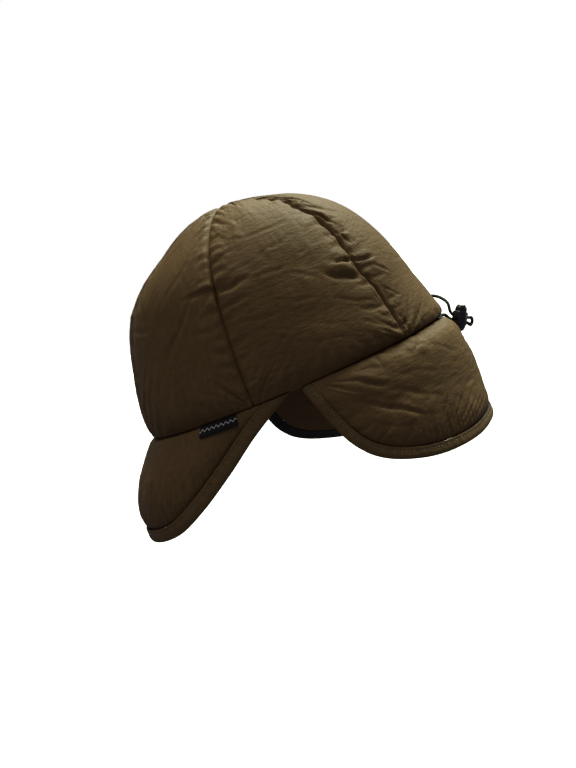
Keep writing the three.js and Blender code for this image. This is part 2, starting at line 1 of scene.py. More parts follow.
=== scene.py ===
# %% [markdown]
# # A padded bomber hat
#
# The hat is a soft cap of crinkled nylon over padding: six stuffed panels make the crown, a
# drooping visor hangs in front, and a wide flap covers the neck and the ears. Folded tape binds
# both free edges. A thin elastic cord with a ball-topped cord lock lies at the back.
#
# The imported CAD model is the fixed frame. This script keeps it as it is and dresses it: each
# soft solid gets a finer, wrinkled piece in the same place, and every surface gets a material.

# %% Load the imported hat
import math

import bpy
import numpy as np
from mathutils import Matrix, Vector, noise


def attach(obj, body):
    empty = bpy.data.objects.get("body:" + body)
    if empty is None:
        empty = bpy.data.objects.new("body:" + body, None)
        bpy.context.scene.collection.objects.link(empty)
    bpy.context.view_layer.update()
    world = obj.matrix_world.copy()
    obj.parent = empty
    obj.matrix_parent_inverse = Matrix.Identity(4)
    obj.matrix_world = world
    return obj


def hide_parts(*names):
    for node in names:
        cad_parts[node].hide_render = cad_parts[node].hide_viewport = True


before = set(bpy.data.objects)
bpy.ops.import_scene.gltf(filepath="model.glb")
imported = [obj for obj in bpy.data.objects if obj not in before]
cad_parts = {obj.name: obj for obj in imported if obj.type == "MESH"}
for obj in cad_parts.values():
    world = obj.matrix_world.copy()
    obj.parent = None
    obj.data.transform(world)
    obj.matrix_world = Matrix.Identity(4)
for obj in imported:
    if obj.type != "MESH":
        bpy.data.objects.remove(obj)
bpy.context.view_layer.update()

# %% [markdown]
# ## Camera
#
# The hat is looked at from the wearer's left and a little above, and it leans back in the
# picture. The lean is a roll of the camera, so the hat itself stays upright in its own frame.
# The lens comes from the scale at the hat's middle, and a small shift sets the framing.

# %% Camera
MM = 0.001
PICTURE_HEIGHT_PX = 768
PICTURE_MIDDLE_PX = (288, 384)
HAT_ORIGIN_PX = (296.9, 376.4)
PX_PER_MM = 1.527
VIEW_DISTANCE = 920 * MM
VIEW_AZIMUTH = math.radians(78)
VIEW_ELEVATION = math.radians(4.7)
VIEW_ROLL = math.radians(23)
SENSOR_SIZE = 36

level_right = Vector((math.cos(VIEW_AZIMUTH), math.sin(VIEW_AZIMUTH), 0))
level_up = Vector((
    -math.sin(VIEW_AZIMUTH) * math.sin(VIEW_ELEVATION),
    math.cos(VIEW_AZIMUTH) * math.sin(VIEW_ELEVATION),
    math.cos(VIEW_ELEVATION),
))
to_camera = level_right.cross(level_up)
image_right = level_right * math.cos(VIEW_ROLL) - level_up * math.sin(VIEW_ROLL)
image_up = level_up * math.cos(VIEW_ROLL) + level_right * math.sin(VIEW_ROLL)

focal_px = PX_PER_MM * VIEW_DISTANCE / MM
camera_data = bpy.data.cameras.new("camera")
camera_data.lens = focal_px / PICTURE_HEIGHT_PX * SENSOR_SIZE
camera_data.sensor_width = SENSOR_SIZE
camera_data.shift_x = (PICTURE_MIDDLE_PX[0] - HAT_ORIGIN_PX[0]) / PICTURE_HEIGHT_PX
camera_data.shift_y = (HAT_ORIGIN_PX[1] - PICTURE_MIDDLE_PX[1]) / PICTURE_HEIGHT_PX
camera = bpy.data.objects.new("camera", camera_data)
bpy.context.scene.collection.objects.link(camera)
axes = Matrix((image_right, image_up, to_camera)).transposed().to_4x4()
camera.matrix_world = Matrix.Translation(to_camera * VIEW_DISTANCE) @ axes
bpy.context.scene.camera = camera
bpy.context.scene.view_settings.view_transform = "Standard"
print("lens in mm", round(camera_data.lens, 2))

# %% [markdown]
# ## Floor, sky and lights
#
# The hat hangs in white light with nothing near it. A plain pale floor lies well below, and the
# sky is white to the camera but dim to the cloth, which keeps the shaded side as deep as it is.
# A wide sun from above and behind, a little warm, gives the strong, soft light on the top of the
# crown, as a big softbox would. Three weak ones lift the side, the flap and the front.

# %% Floor
FLOOR_DROP = 600 * MM
FLOOR_HALF = 30.0


def mesh_object(name, points, faces):
    mesh = bpy.data.meshes.new(name)
    mesh.from_pydata([tuple(p) for p in points], [], [tuple(f) for f in faces])
    mesh.update()
    made = bpy.data.objects.new(name, mesh)
    bpy.context.scene.collection.objects.link(made)
    return made


corners = [(-1, -1), (1, -1), (1, 1), (-1, 1)]
floor_points = [(FLOOR_HALF * x, FLOOR_HALF * y, -FLOOR_DROP) for x, y in corners]
floor = mesh_object("floor", floor_points, [(0, 1, 2, 3)])
# The hat hangs free, so no light from the floor reaches it.
floor.visible_diffuse = False
floor.visible_glossy = False
print("floor in m below the rim", FLOOR_DROP)

# %% [markdown]
# Every material below is a small network of nodes. One helper turns a colour written in hex to
# the linear values that a shader works in, one starts an empty material, and one adds a node
# with its settings and its links.

# %% Colours and nodes


def linear(hex_colour):
    """A colour written as sRGB hex, turned to the linear values that the shaders use."""
    shares = [int(hex_colour[i:i + 2], 16) / 255 for i in (1, 3, 5)]
    bent = [s / 12.92 if s <= 0.04045 else ((s + 0.055) / 1.055) ** 2.4 for s in shares]
    return (*bent, 1)


def add_node(tree, kind, inputs=None, **settings):
    """Adds a node, sets its settings, and fills or links its inputs."""
    node = tree.nodes.new(kind)
    for name, value in settings.items():
        setattr(node, name, value)
    for name, value in (inputs or {}).items():
        if isinstance(value, bpy.types.NodeSocket):
            tree.links.new(value, node.inputs[name])
        else:
            node.inputs[name].default_value = value
    return node


# The Mix node has several sockets of one name, so its colour ones are called by number.
COLOUR_A = 6
COLOUR_B = 7
MIXED_COLOUR = 2


def empty_material(name):
    material = bpy.data.materials.new(name)
    material.use_nodes = True
    material.node_tree.nodes.clear()
    return material, material.node_tree


# %% Floor finish: matt white paper
paper, tree = empty_material("matt_white_paper")
place = add_node(tree, "ShaderNodeTexCoord")
grain = add_node(tree, "ShaderNodeTexNoise", {"Vector": place.outputs["Object"], "Scale": 3.0})
tone = add_node(tree, "ShaderNodeMix", {
    "Factor": grain.outputs["Fac"],
    COLOUR_A: linear("#f6f6f4"),
    COLOUR_B: linear("#fbfbfa"),
}, data_type="RGBA")
shader = add_node(tree, "ShaderNodeBsdfPrincipled", {
    "Base Color": tone.outputs[MIXED_COLOUR], "Roughness": 0.9,
})
add_node(tree, "ShaderNodeOutputMaterial", {"Surface": shader.outputs["BSDF"]})
floor.data.materials.append(paper)

# %% Sky
SKY_TO_CLOTH = 0.22
SKY_TINT = (0.76, 0.78, 1, 1)
sky = bpy.data.worlds.new("sky")
bpy.context.scene.world = sky
sky.use_nodes = True
sky.node_tree.nodes.clear()
rays = add_node(sky.node_tree, "ShaderNodeLightPath")
dim = add_node(sky.node_tree, "ShaderNodeBackground", {"Color": SKY_TINT, "Strength": SKY_TO_CLOTH})
white = add_node(sky.node_tree, "ShaderNodeBackground", {"Color": (1, 1, 1, 1), "Strength": 1.0})
chosen = add_node(sky.node_tree, "ShaderNodeMixShader", {
    0: rays.outputs["Is Camera Ray"],
    1: dim.outputs["Background"],
    2: white.outputs["Background"],
})
add_node(sky.node_tree, "ShaderNodeOutputWorld", {"Surface": chosen.outputs["Shader"]})

# %% Lights
KEY_TINT = (0.92, 1, 0.8)
SUNS = [
    # name, to the right, up, towards the camera, strength, width in degrees
    ("key", 0.12, 0.88, -0.4, 8.3, 46),
    ("high_fill", -0.5, 0.87, 0, 0.4, 40),
    ("side_fill", 0.85, 0.3, -0.4, 0.25, 50),
    ("front_fill", -0.4, 0.8, 0.45, 0.4, 20),
]
for name, right_share, up_share, near_share, strength, width in SUNS:
    data = bpy.data.lights.new(name, "SUN")
    data.energy = strength
    data.angle = math.radians(width)
    data.color = KEY_TINT if name == "key" else (1, 1, 1)
    lamp = bpy.data.objects.new(name, data)
    bpy.context.scene.collection.objects.link(lamp)
    towards = image_right * right_share + image_up * up_share + to_camera * near_share
    lamp.rotation_euler = (-towards).to_track_quat("-Z", "Y").to_euler()
print("suns", [row[0] for row in SUNS])

# %% [markdown]
# ## The hat's own directions and sizes
#
# The front of the hat is -Y, the wearer's left is +X, and the rim seam lies at z = 0. Azimuth is
# measured from the front towards the wearer's left. These are the pattern's real sizes, the
# same that the frame was cut to, so each fine piece lands in the place of its plain solid.

# %% Sizes of the cloth
RIM_FRONT_LENGTH = 101.5 * MM
RIM_BACK_LENGTH = 100.5 * MM
RIM_HALF_WIDTH = 86 * MM
CROWN_HEIGHT = 120.8 * MM
FULLNESS_FRONT = 2.15
FULLNESS_BACK = 1.94
MEAN_RIM_RADIUS = (RIM_FRONT_LENGTH + RIM_BACK_LENGTH + 2 * RIM_HALF_WIDTH) / 4
M_PER_DEGREE = math.radians(MEAN_RIM_RADIUS)
M_PER_RISE = math.radians((MEAN_RIM_RADIUS + CROWN_HEIGHT) / 2)
SEAM_WALL = 3 * MM
FLAP_GAP = 0.03 * MM


# %% Directions, shares and curves
def rim_radius(azimuth):
    a = np.radians(azimuth)
    length = np.where(np.cos(a) > 0, RIM_FRONT_LENGTH, RIM_BACK_LENGTH)
    return 1 / np.hypot(np.sin(a) / RIM_HALF_WIDTH, np.cos(a) / length)


def around(azimuth, radius, z):
    a = np.radians(azimuth)
    return np.stack([np.sin(a) * radius, -np.cos(a) * radius, z + 0 * radius], -1)


def backness(azimuth):
    """0 in front and 1 at the back."""
    return (1 - np.cos(np.radians(azimuth))) / 2


def between(start, end, share):
    return start + (end - start) * share


def ease_out(x):
    return 1 - (1 - np.clip(x, 0, 1)) ** 2


def length_of(vectors):
    return np.linalg.norm(vectors, axis=-1)


def normal_of(surface, u, v, step=1e-2):
    """Unit normals of a surface that is a function of two arrays."""
    along_u = surface(u + step, v) - surface(u - step, v)
    along_v = surface(u, v + step) - surface(u, v - step)
    across = np.cross(along_u, along_v)
    return across / length_of(across)[..., None]


def catmull_rom(points, t):
    """A smooth curve through points, where t counts the points from 0."""
    points = np.asarray(points, float)
    last = len(points) - 1
    k = np.clip(np.floor(t).astype(int), 0, last - 1)
    w = np.asarray(t) - k
    before, start, end, after = (points[np.clip(k + i, 0, last)] for i in (-1, 0, 1, 2))
    if points.ndim > 1:
        w = w[..., None]
    leave = (end - before) / 2
    arrive = (after - start) / 2
    cubic = (2 * start - 2 * end + leave + arrive) * w ** 3
    square = (-3 * start + 3 * end - 2 * leave - arrive) * w ** 2
    return cubic + square + leave * w + start


print("rim seam in mm", round((RIM_FRONT_LENGTH + RIM_BACK_LENGTH) / MM, 1), "long and",
      round(2 * RIM_HALF_WIDTH / MM, 1), "wide")

# %% [markdown]
# ## Drawcord
#
# The thin elastic leaves the rim seam, passes through the cord lock, turns back through it and
# arches over to the seam on the other side. A cord is a route and a thickness, so it is made as
# a tube that follows listed points, with the small lozenges of its braid raised on it.

# %% Cord route
CORD_DIAMETER = 2.2 * MM
TOGGLE_TILT = math.radians(33)
BARREL_TOP = np.array([0, 121.2, -5]) * MM
STRAND_SPACING = 3.4
UPPER = -3.1
LOWER = UPPER - STRAND_SPACING
CORD_IN_GROOVE = 2.1


def in_groove(azimuth, beyond, z):
    return around(azimuth, rim_radius(azimuth) + beyond * MM, z * MM)


def at_toggle(x, across, along):
    """A place in the cord lock's own directions: to the left, outwards and up its axis."""
    y = across * math.cos(TOGGLE_TILT) + along * math.sin(TOGGLE_TILT)
    z = along * math.cos(TOGGLE_TILT) - across * math.sin(TOGGLE_TILT)
    return BARREL_TOP + np.array([x, y, z]) * MM


def at(x, y, z):
    return np.array([x, y, z]) * MM


CORD_ROUTE = [
    in_groove(156, CORD_IN_GROOVE, 0),
    in_groove(162, CORD_IN_GROOVE, 0),
    in_groove(168, CORD_IN_GROOVE, 0),
    in_groove(172.5, CORD_IN_GROOVE + 0.8, -0.4),
    at_toggle(6.4, -12.4, LOWER + 1.6),
    at_toggle(2.2, -8, LOWER + 0.4),
    at_toggle(0.2, -4.6, LOWER),
    at_toggle(0, -1.5, LOWER),
    at_toggle(0, 1.5, LOWER),
    at_toggle(0, 5.2, LOWER),
    at_toggle(-0.8, 7.1, LOWER - 0.35),
    at_toggle(-2.5, 8.8, LOWER - 0.75),
    at_toggle(-4.25, 10.2, LOWER - 0.05),
    at_toggle(-4.8, 10.7, (UPPER + LOWER) / 2),
    at_toggle(-4.25, 10.2, UPPER + 0.05),
    at_toggle(-2.5, 8.8, UPPER + 0.75),
    at_toggle(-0.8, 7.1, UPPER + 0.35),
    at_toggle(0, 5.2, UPPER),
    at_toggle(0, 1.5, UPPER),
    at_toggle(0, -1.5, UPPER),
    at_toggle(0, -4.8, UPPER + 0.1),
    at_toggle(-0.8, -7, -1.2),
    at(-3, 116, 3.4),
    at(-8, 115.1, 7.8),
    at(-15, 112.3, 11.3),
    at(-22, 109.2, 11.6),
    at(-28, 106.4, 8.4),
    at(-32.5, 102.6, 4),
    in_groove(-157, CORD_IN_GROOVE + 0.3, 0.3),
    in_groove(-152, CORD_IN_GROOVE, 0),
]


# %% Cord line
def centripetal(points, per_span):
    """A centripetal Catmull-Rom curve, which passes tight turns without loops."""
    points = [2 * points[0] - points[1], *points, 2 * points[-1] - points[-2]]
    made = []
    for p0, p1, p2, p3 in zip(points, points[1:], points[2:], points[3:]):
        a, b, c = (max(math.sqrt(length_of(q - p)), 1e-6) for p, q in ((p0, p1), (p1, p2), (p2, p3)))
        leave = ((p1 - p0) / a - (p2 - p0) / (a + b) + (p2 - p1) / b) * b
        arrive = ((p2 - p1) / b - (p3 - p1) / (b + c) + (p3 - p2) / c) * b
        for step in range(per_span):
            w = step / per_span
            made.append((2 * p1 - 2 * p2 + leave + arrive) * w ** 3
                        + (-3 * p1 + 3 * p2 - 2 * leave - arrive) * w ** 2 + leave * w + p1)
    made.append(points[-2])
    return np.array(made)


CURVE_POINTS_PER_SPAN = 14
cord_line = centripetal(CORD_ROUTE, CURVE_POINTS_PER_SPAN)

# %% Evenly spaced points and grids
def even_points(line, spacing):
    """The same line with its points evenly spaced."""
    run = np.concatenate([[0], np.cumsum(length_of(np.diff(line, axis=0)))])
    count = max(2, round(run[-1] / spacing))
    where = np.linspace(0, run[-1], count + 1)
    return np.stack([np.interp(where, run, line[:, i]) for i in range(3)], -1)


def numbered(rows, columns, first=0):
    return first + np.arange(rows * columns).reshape(rows, columns)


def quads_over(index):
    """Four-sided faces between the neighbours in a grid of point numbers."""
    corners = [index[:-1, :-1], index[:-1, 1:], index[1:, 1:], index[1:, :-1]]
    return np.stack(corners, -1).reshape(-1, 4)


def grid_object(name, grid, wrap_columns=False, caps=False):
    """A mesh of quads over a grid of points, which may close on itself across its columns."""
    columns = grid.shape[1]
    index = numbered(*grid.shape[:2])
    if wrap_columns:
        index = np.concatenate([index, index[:, :1]], 1)
    faces = quads_over(index).tolist()
    if caps:
        faces.append(index[0, :columns][::-1].tolist())
        faces.append(index[-1, :columns].tolist())
    return mesh_object(name, grid.reshape(-1, 3), faces)


def smooth_faces(made):
    made.data.polygons.foreach_set("use_smooth", [True] * len(made.data.polygons))
    made.data.update()


# %% Cord tube
BRAID_LENGTH = 2.4 * MM
BRAID_STRANDS = 4
BRAID_RAISE = 0.09 * MM
CORD_SIDES = 24
CORD_POINT_SPACING = 0.3 * MM

line = even_points(cord_line, CORD_POINT_SPACING)
tangent = np.gradient(line, axis=0)
tangent /= length_of(tangent)[:, None]
side = np.cross(tangent[0], [0, 0, 1.0])
sides_along = []
for t in tangent:
    side = side - t * np.dot(side, t)
    side = side / np.linalg.norm(side)
    sides_along.append(side)
sides_along = np.array(sides_along)
ups_along = np.cross(tangent, sides_along)
turn = np.linspace(0, 2 * np.pi, CORD_SIDES, endpoint=False)
travel = np.arange(len(line)) * CORD_POINT_SPACING / BRAID_LENGTH * 2 * np.pi
lozenge = np.cos(BRAID_STRANDS * turn + travel[:, None])
lozenge *= np.cos(BRAID_STRANDS * turn - travel[:, None])
radius = CORD_DIAMETER / 2 + BRAID_RAISE * lozenge
ring = np.cos(turn)[:, None] * sides_along[:, None]
ring = ring + np.sin(turn)[:, None] * ups_along[:, None]
cord_skin = line[:, None] + radius[..., None] * ring
cord = grid_object("drawcord_braid", cord_skin, wrap_columns=True, caps=True)
smooth_faces(cord)
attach(cord, "hat")
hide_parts("drawcord")
print("cord faces", len(cord.data.polygons))

# %% [markdown]
# ## Shell fabric
#
# The shell is a thin, tightly woven nylon with a soft coating, over padding. It crinkles into
# short streaks a few mm long, which catch the light as paper does, and its yarn gives a faint
# cross grain. Nylon's IOR is about 1.53, but light that enters the yarn comes out coloured, so
# little of the mirror-like part is left. The threads are really about 0.1 mm apart, too fine to
# show, so they are drawn 0.9 mm apart.

# %% Shell fabric material
THREAD_SPACING = 0.9 * MM
STREAK_MM = (7.5, 2.4)
FINE_STREAK_MM = (3.0, 1.1)
CLOUD_SIZE = 45 * MM
CLOTH_GLOSS = 0.05


def cloth_material(name, dark, light, roughness, crinkle, thread_height):
    """Woven nylon: a cloudy colour, streaky crinkles at two sizes, and a fine cross grain."""
    material, tree = empty_material(name)
    place = add_node(tree, "ShaderNodeTexCoord").outputs["Object"]
    cloth = add_node(tree, "ShaderNodeUVMap", uv_map="cloth").outputs["UV"]
    clouds = add_node(tree, "ShaderNodeTexNoise", {
        "Vector": place, "Scale": 1 / CLOUD_SIZE, "Detail": 3.0,
    })

    def streaks(size, detail):
        squeezed = add_node(tree, "ShaderNodeVectorMath", {0: cloth, 1: (1 / size[0], 1 / size[1], 1)},
                            operation="MULTIPLY")
        return add_node(tree, "ShaderNodeTexNoise", {
            "Vector": squeezed.outputs[0], "Scale": 1.0, "Detail": detail,
            "Roughness": 0.55, "Distortion": 0.7,
        }).outputs["Fac"]

    rub = streaks(STREAK_MM, 3.0)
    fine_rub = streaks(FINE_STREAK_MM, 2.0)
    blend = add_node(tree, "ShaderNodeMath", {0: clouds.outputs["Fac"], 1: rub}, operation="MULTIPLY")
    share = add_node(tree, "ShaderNodeMapRange", {
        "Value": blend.outputs[0], "From Min": 0.12, "From Max": 0.4,
    })
    tone = add_node(tree, "ShaderNodeMix", {
        "Factor": share.outputs["Result"], COLOUR_A: linear(dark), COLOUR_B: linear(light),
    }, data_type="RGBA")
    split = add_node(tree, "ShaderNodeSeparateXYZ", {"Vector": cloth})
    turn_rate = 2 * math.pi / (THREAD_SPACING / MM)
    waves = []
    for run in (split.outputs["X"], split.outputs["Y"]):
        turns = add_node(tree, "ShaderNodeMath", {0: run, 1: turn_rate}, operation="MULTIPLY")
        wave = add_node(tree, "ShaderNodeMath", {0: turns.outputs[0]}, operation="SINE")
        waves.append(wave.outputs[0])
    weave = add_node(tree, "ShaderNodeMath", {0: waves[0], 1: waves[1]}, operation="MULTIPLY")
    big = add_node(tree, "ShaderNodeBump", {"Height": rub, "Strength": 1.0, "Distance": crinkle})
    middle = add_node(tree, "ShaderNodeBump", {
        "Height": fine_rub, "Strength": 1.0, "Distance": crinkle * 0.35,
        "Normal": big.outputs["Normal"],
    })
    fine = add_node(tree, "ShaderNodeBump", {
        "Height": weave.outputs[0], "Strength": 1.0, "Distance": thread_height,
        "Normal": middle.outputs["Normal"],
    })
    polish = add_node(tree, "ShaderNodeMapRange", {
        "Value": rub, "To Min": roughness - 0.08, "To Max": roughness + 0.1,
    })
    shader = add_node(tree, "ShaderNodeBsdfPrincipled", {
        "Base Color": tone.outputs[MIXED_COLOUR], "Roughness": polish.outputs["Result"], "IOR": 1.53,
        "Specular IOR Level": CLOTH_GLOSS, "Normal": fine.outputs["Normal"],
    })
    add_node(tree, "ShaderNodeOutputMaterial", {"Surface": shader.outputs["BSDF"]})
    return material


shell_nylon = cloth_material("crinkled_nylon_shell", "#533f24", "#604a2c", 0.58, 0.4 * MM, 0.015 * MM)
binding_nylon = cloth_material("folded_nylon_binding", "#534025", "#614c2e", 0.62, 0.3 * MM, 0.025 * MM)
print("cloth finishes", shell_nylon.name, binding_nylon.name)

# %% [markdown]
# ## Stitching thread
#
# The binding is sewn down with a polyester thread, a little lighter than the cloth. Each stitch
# is a short raised bead, pulled into the tape at its ends. The twist of the thread is about
# 0.6 mm long.

# %% Thread material
THREAD_TWIST = 0.6 * MM
thread_polyester, tree = empty_material("twisted_polyester_thread")
place = add_node(tree, "ShaderNodeTexCoord").outputs["Object"]
twist = add_node(tree, "ShaderNodeTexNoise", {"Vector": place, "Scale": 1 / THREAD_TWIST, "Detail": 2.0})
tone = add_node(tree, "ShaderNodeMix", {
    "Factor": twist.outputs["Fac"], COLOUR_A: linear("#54482e"), COLOUR_B: linear("#726545"),
}, data_type="RGBA")
lay = add_node(tree, "ShaderNodeBump", {"Height": twist.outputs["Fac"], "Distance": 0.08 * MM})
shader = add_node(tree, "ShaderNodeBsdfPrincipled", {
    "Base Color": tone.outputs[MIXED_COLOUR], "Roughness": 0.5, "IOR": 1.57,
    "Normal": lay.outputs["Normal"],
})
add_node(tree, "ShaderNodeOutputMaterial", {"Surface": shader.outputs["BSDF"]})

# %% [markdown]
# ## Elastic cord and cord lock
#
# The cord is a polyester braid over rubber. Its yarns scatter the light, so it looks matt black
# with a soft grain about 0.5 mm long. The cord lock is moulded acetal, black and glossy. It comes
# out of a polished mould, so its reflections are sharp, and handling adds faint scuffs that
# roughen them in patches a few mm wide. Acetal's IOR is about 1.48.

# %% Cord material
YARN_SIZE = 0.5 * MM
braid_polyester, tree = empty_material("braided_polyester_elastic")
place = add_node(tree, "ShaderNodeTexCoord").outputs["Object"]
yarn = add_node(tree, "ShaderNodeTexNoise", {"Vector": place, "Scale": 1 / YARN_SIZE, "Detail": 2.0})
tone = add_node(tree, "ShaderNodeMix", {
    "Factor": yarn.outputs["Fac"], COLOUR_A: linear("#070707"), COLOUR_B: linear("#161615"),
}, data_type="RGBA")
raised = add_node(tree, "ShaderNodeBump", {"Height": yarn.outputs["Fac"], "Distance": 0.1 * MM})
shader = add_node(tree, "ShaderNodeBsdfPrincipled", {
    "Base Color": tone.outputs[MIXED_COLOUR], "Roughness": 0.62, "IOR": 1.57, "Specular IOR Level": 0.2,
    "Normal": raised.outputs["Normal"],
})
add_node(tree, "ShaderNodeOutputMaterial", {"Surface": shader.outputs["BSDF"]})
cord.data.materials.append(braid_polyester)

# %% Cord lock material
SCUFF_SIZE = 1.8 * MM
moulded_acetal, tree = empty_material("moulded_black_acetal")
place = add_node(tree, "ShaderNodeTexCoord").outputs["Object"]
scuffs = add_node(tree, "ShaderNodeTexNoise", {"Vector": place, "Scale": 1 / SCUFF_SIZE, "Detail": 4.0})
polish = add_node(tree, "ShaderNodeMapRange", {
    "Value": scuffs.outputs["Fac"], "To Min": 0.1, "To Max": 0.3,
})
tone = add_node(tree, "ShaderNodeMix", {
    "Factor": scuffs.outputs["Fac"], COLOUR_A: linear("#060605"), COLOUR_B: linear("#11100e"),
}, data_type="RGBA")
skin = add_node(tree, "ShaderNodeBump", {"Height": scuffs.outputs["Fac"], "Distance": 0.02 * MM})
shader = add_node(tree, "ShaderNodeBsdfPrincipled", {
    "Base Color": tone.outputs[MIXED_COLOUR], "Roughness": polish.outputs["Result"], "IOR": 1.48,
    "Normal": skin.outputs["Normal"],
})
add_node(tree, "ShaderNodeOutputMaterial", {"Surface": shader.outputs["BSDF"]})

# %% [markdown]
# The cord lock is rigid and its solid already has the right shape, so the frame's own nodes
# stay. A weld and a small bevel round their edges, and smooth shading hides the facets.

# %% Cord lock
for node_name, edge in (("toggle_barrel", 0.22 * MM), ("toggle_button", 0.15 * MM)):
    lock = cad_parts[node_name]
    lock.data.materials.clear()
    lock.data.materials.append(moulded_acetal)
    smooth_faces(lock)
    weld = lock.modifiers.new("weld", "WELD")
    weld.merge_threshold = 0.005 * MM
    rounding = lock.modifiers.new("rounding", "BEVEL")
    rounding.width = edge
    rounding.segments = 3
    rounding.limit_method = "ANGLE"
    rounding.angle_limit = math.radians(32)
    rounding.harden_normals = True
    print(node_name, "edges rounded by", round(edge / MM, 2), "mm")

# %% [markdown]
# ## Crown
#
# The crown is a dome of six padded wedges. Each wedge is a sheet of points between two seams.
# The padding lifts its middle, the seams pull its edges in, and folds, puckers and creases are
# then pressed into it.

# %% Dome
SWELL_ROWS = [
    # elevation, front, back
    (0, 0, 0),
    (9, -0.9, -2.4),
    (18, -1.6, -3.6),
    (36, 0, 0.2),
    (48, -2, 1.8),
    (62, -5, 0),
    (76, -1.6, -2.4),
    (90, 0, 0),
]
SWELL_ELEVATION, SWELL_FRONT, SWELL_BACK = np.array(SWELL_ROWS, float).T


def crown_base(azimuth, elevation):
    """The dome through the seams, a little fuller than round in front."""
    azimuth, elevation = np.broadcast_arrays(azimuth, elevation)
    e = np.radians(elevation)
    power = 2 / between(FULLNESS_FRONT, FULLNESS_BACK, backness(azimuth))
    spread = np.maximum(np.cos(e), 0) ** power
    rise = np.maximum(np.sin(e), 0) ** power
    to_back = -np.cos(np.radians(azimuth))
    row = np.interp(elevation, SWELL_ELEVATION, np.arange(len(SWELL_ELEVATION)))
    stand = np.where(to_back > 0, catmull_rom(SWELL_BACK, row), catmull_rom(SWELL_FRONT, row))
    stand = stand * MM * np.abs(to_back) ** 1.5
    radius = rim_radius(azimuth) * spread + stand * np.cos(e)
    return around(azimuth, radius, CROWN_HEIGHT * rise + stand * np.sin(e))


# %% Crown seams
CROWN_SEAMS = [
    # azimuth at the rim, azimuth near the top, kink, share of the puff low down, high up
    (0, 0, 0, 0.4, 0.3),
    (58, 56, 0, 0.7, 0.9),
    (127, 138, -3, 1.3, 0.3),
    (180, 180, 0, 0.5, 0.3),
]
SEAM_SWING_ELEVATION = 75
KINK_ELEVATION = 27
KINK_HALF_HEIGHT = 7
PUFF_CHANGE_ELEVATION = 28
PUFF_CHANGE_HEIGHT = 16


def seam_azimuth(seam, elevation):
    """Where a seam runs. It swings near the top and is pulled aside a little where it puckers."""
    t = np.clip(elevation / SEAM_SWING_ELEVATION, 0, 1)
    kink = seam[2] * np.exp(-((elevation - KINK_ELEVATION) / KINK_HALF_HEIGHT) ** 2)
    return between(seam[0], seam[1], t ** 3) + kink


def puff_at_seam(seam, elevation):
    """The padding stands high at some seams low down, and less so near the top."""
    return between(seam[3], seam[4], ease_out((elevation - PUFF_CHANGE_ELEVATION) / PUFF_CHANGE_HEIGHT))


top_of_dome = crown_base(0.0, np.array([90.0]))[0]
print("top of the dome in mm", round(float(top_of_dome[2]) / MM, 1))

# %% [markdown]
# ## Folds and creases
#
# A fold takes away some of the puff over a wide place, as a hand pressed into the padding does.
# A crease is a sharp valley between two soft swellings. Each is a row with its middle, its turn
# and its half sizes in mm. The side is 1 on the wearer's left and -1 on the right.

# %% Tables of folds and creases
PANEL_PUFF = 3.1 * MM
PANEL_INNER_PUFF = 1.5 * MM
BULGE_POWER = 4
NARROW_RING_RADIUS = 42 * MM
FULL_PUFF_HEIGHT_FRONT = 16 * MM
FULL_PUFF_HEIGHT_BACK = 2.5 * MM
RIM_ROLL_FRONT = 0.4 * MM
RIM_ROLL_BACK = 3 * MM
RIM_ROLL_HEIGHT = 2 * MM
RIM_ROLL_FADE = 16 * MM

CROWN_FOLDS = [
    # side, azimuth, elevation, turn, half length, half width, share of the puff taken away
    (1, 124, 26, 5, 10, 6, 0.5),
    (1, 58, 35, -4, 12, 6, 0.5),
    (1, 113, 24, -25, 16, 6, 0.5),
    (1, 104, 15, -12, 46, 9, 0.3),
    (1, 36, 26, 60, 36, 7, 0.5),
    (1, 14, 33, 0, 14, 7, 0.6),
    (-1, 127, 34, -8, 13, 6, 0.5),
    (-1, 58, 24, 10, 12, 6, 0.5),
    (-1, 96, 42, -8, 38, 9, 0.4),
    (-1, 30, 24, 100, 32, 8, 0.5),
]

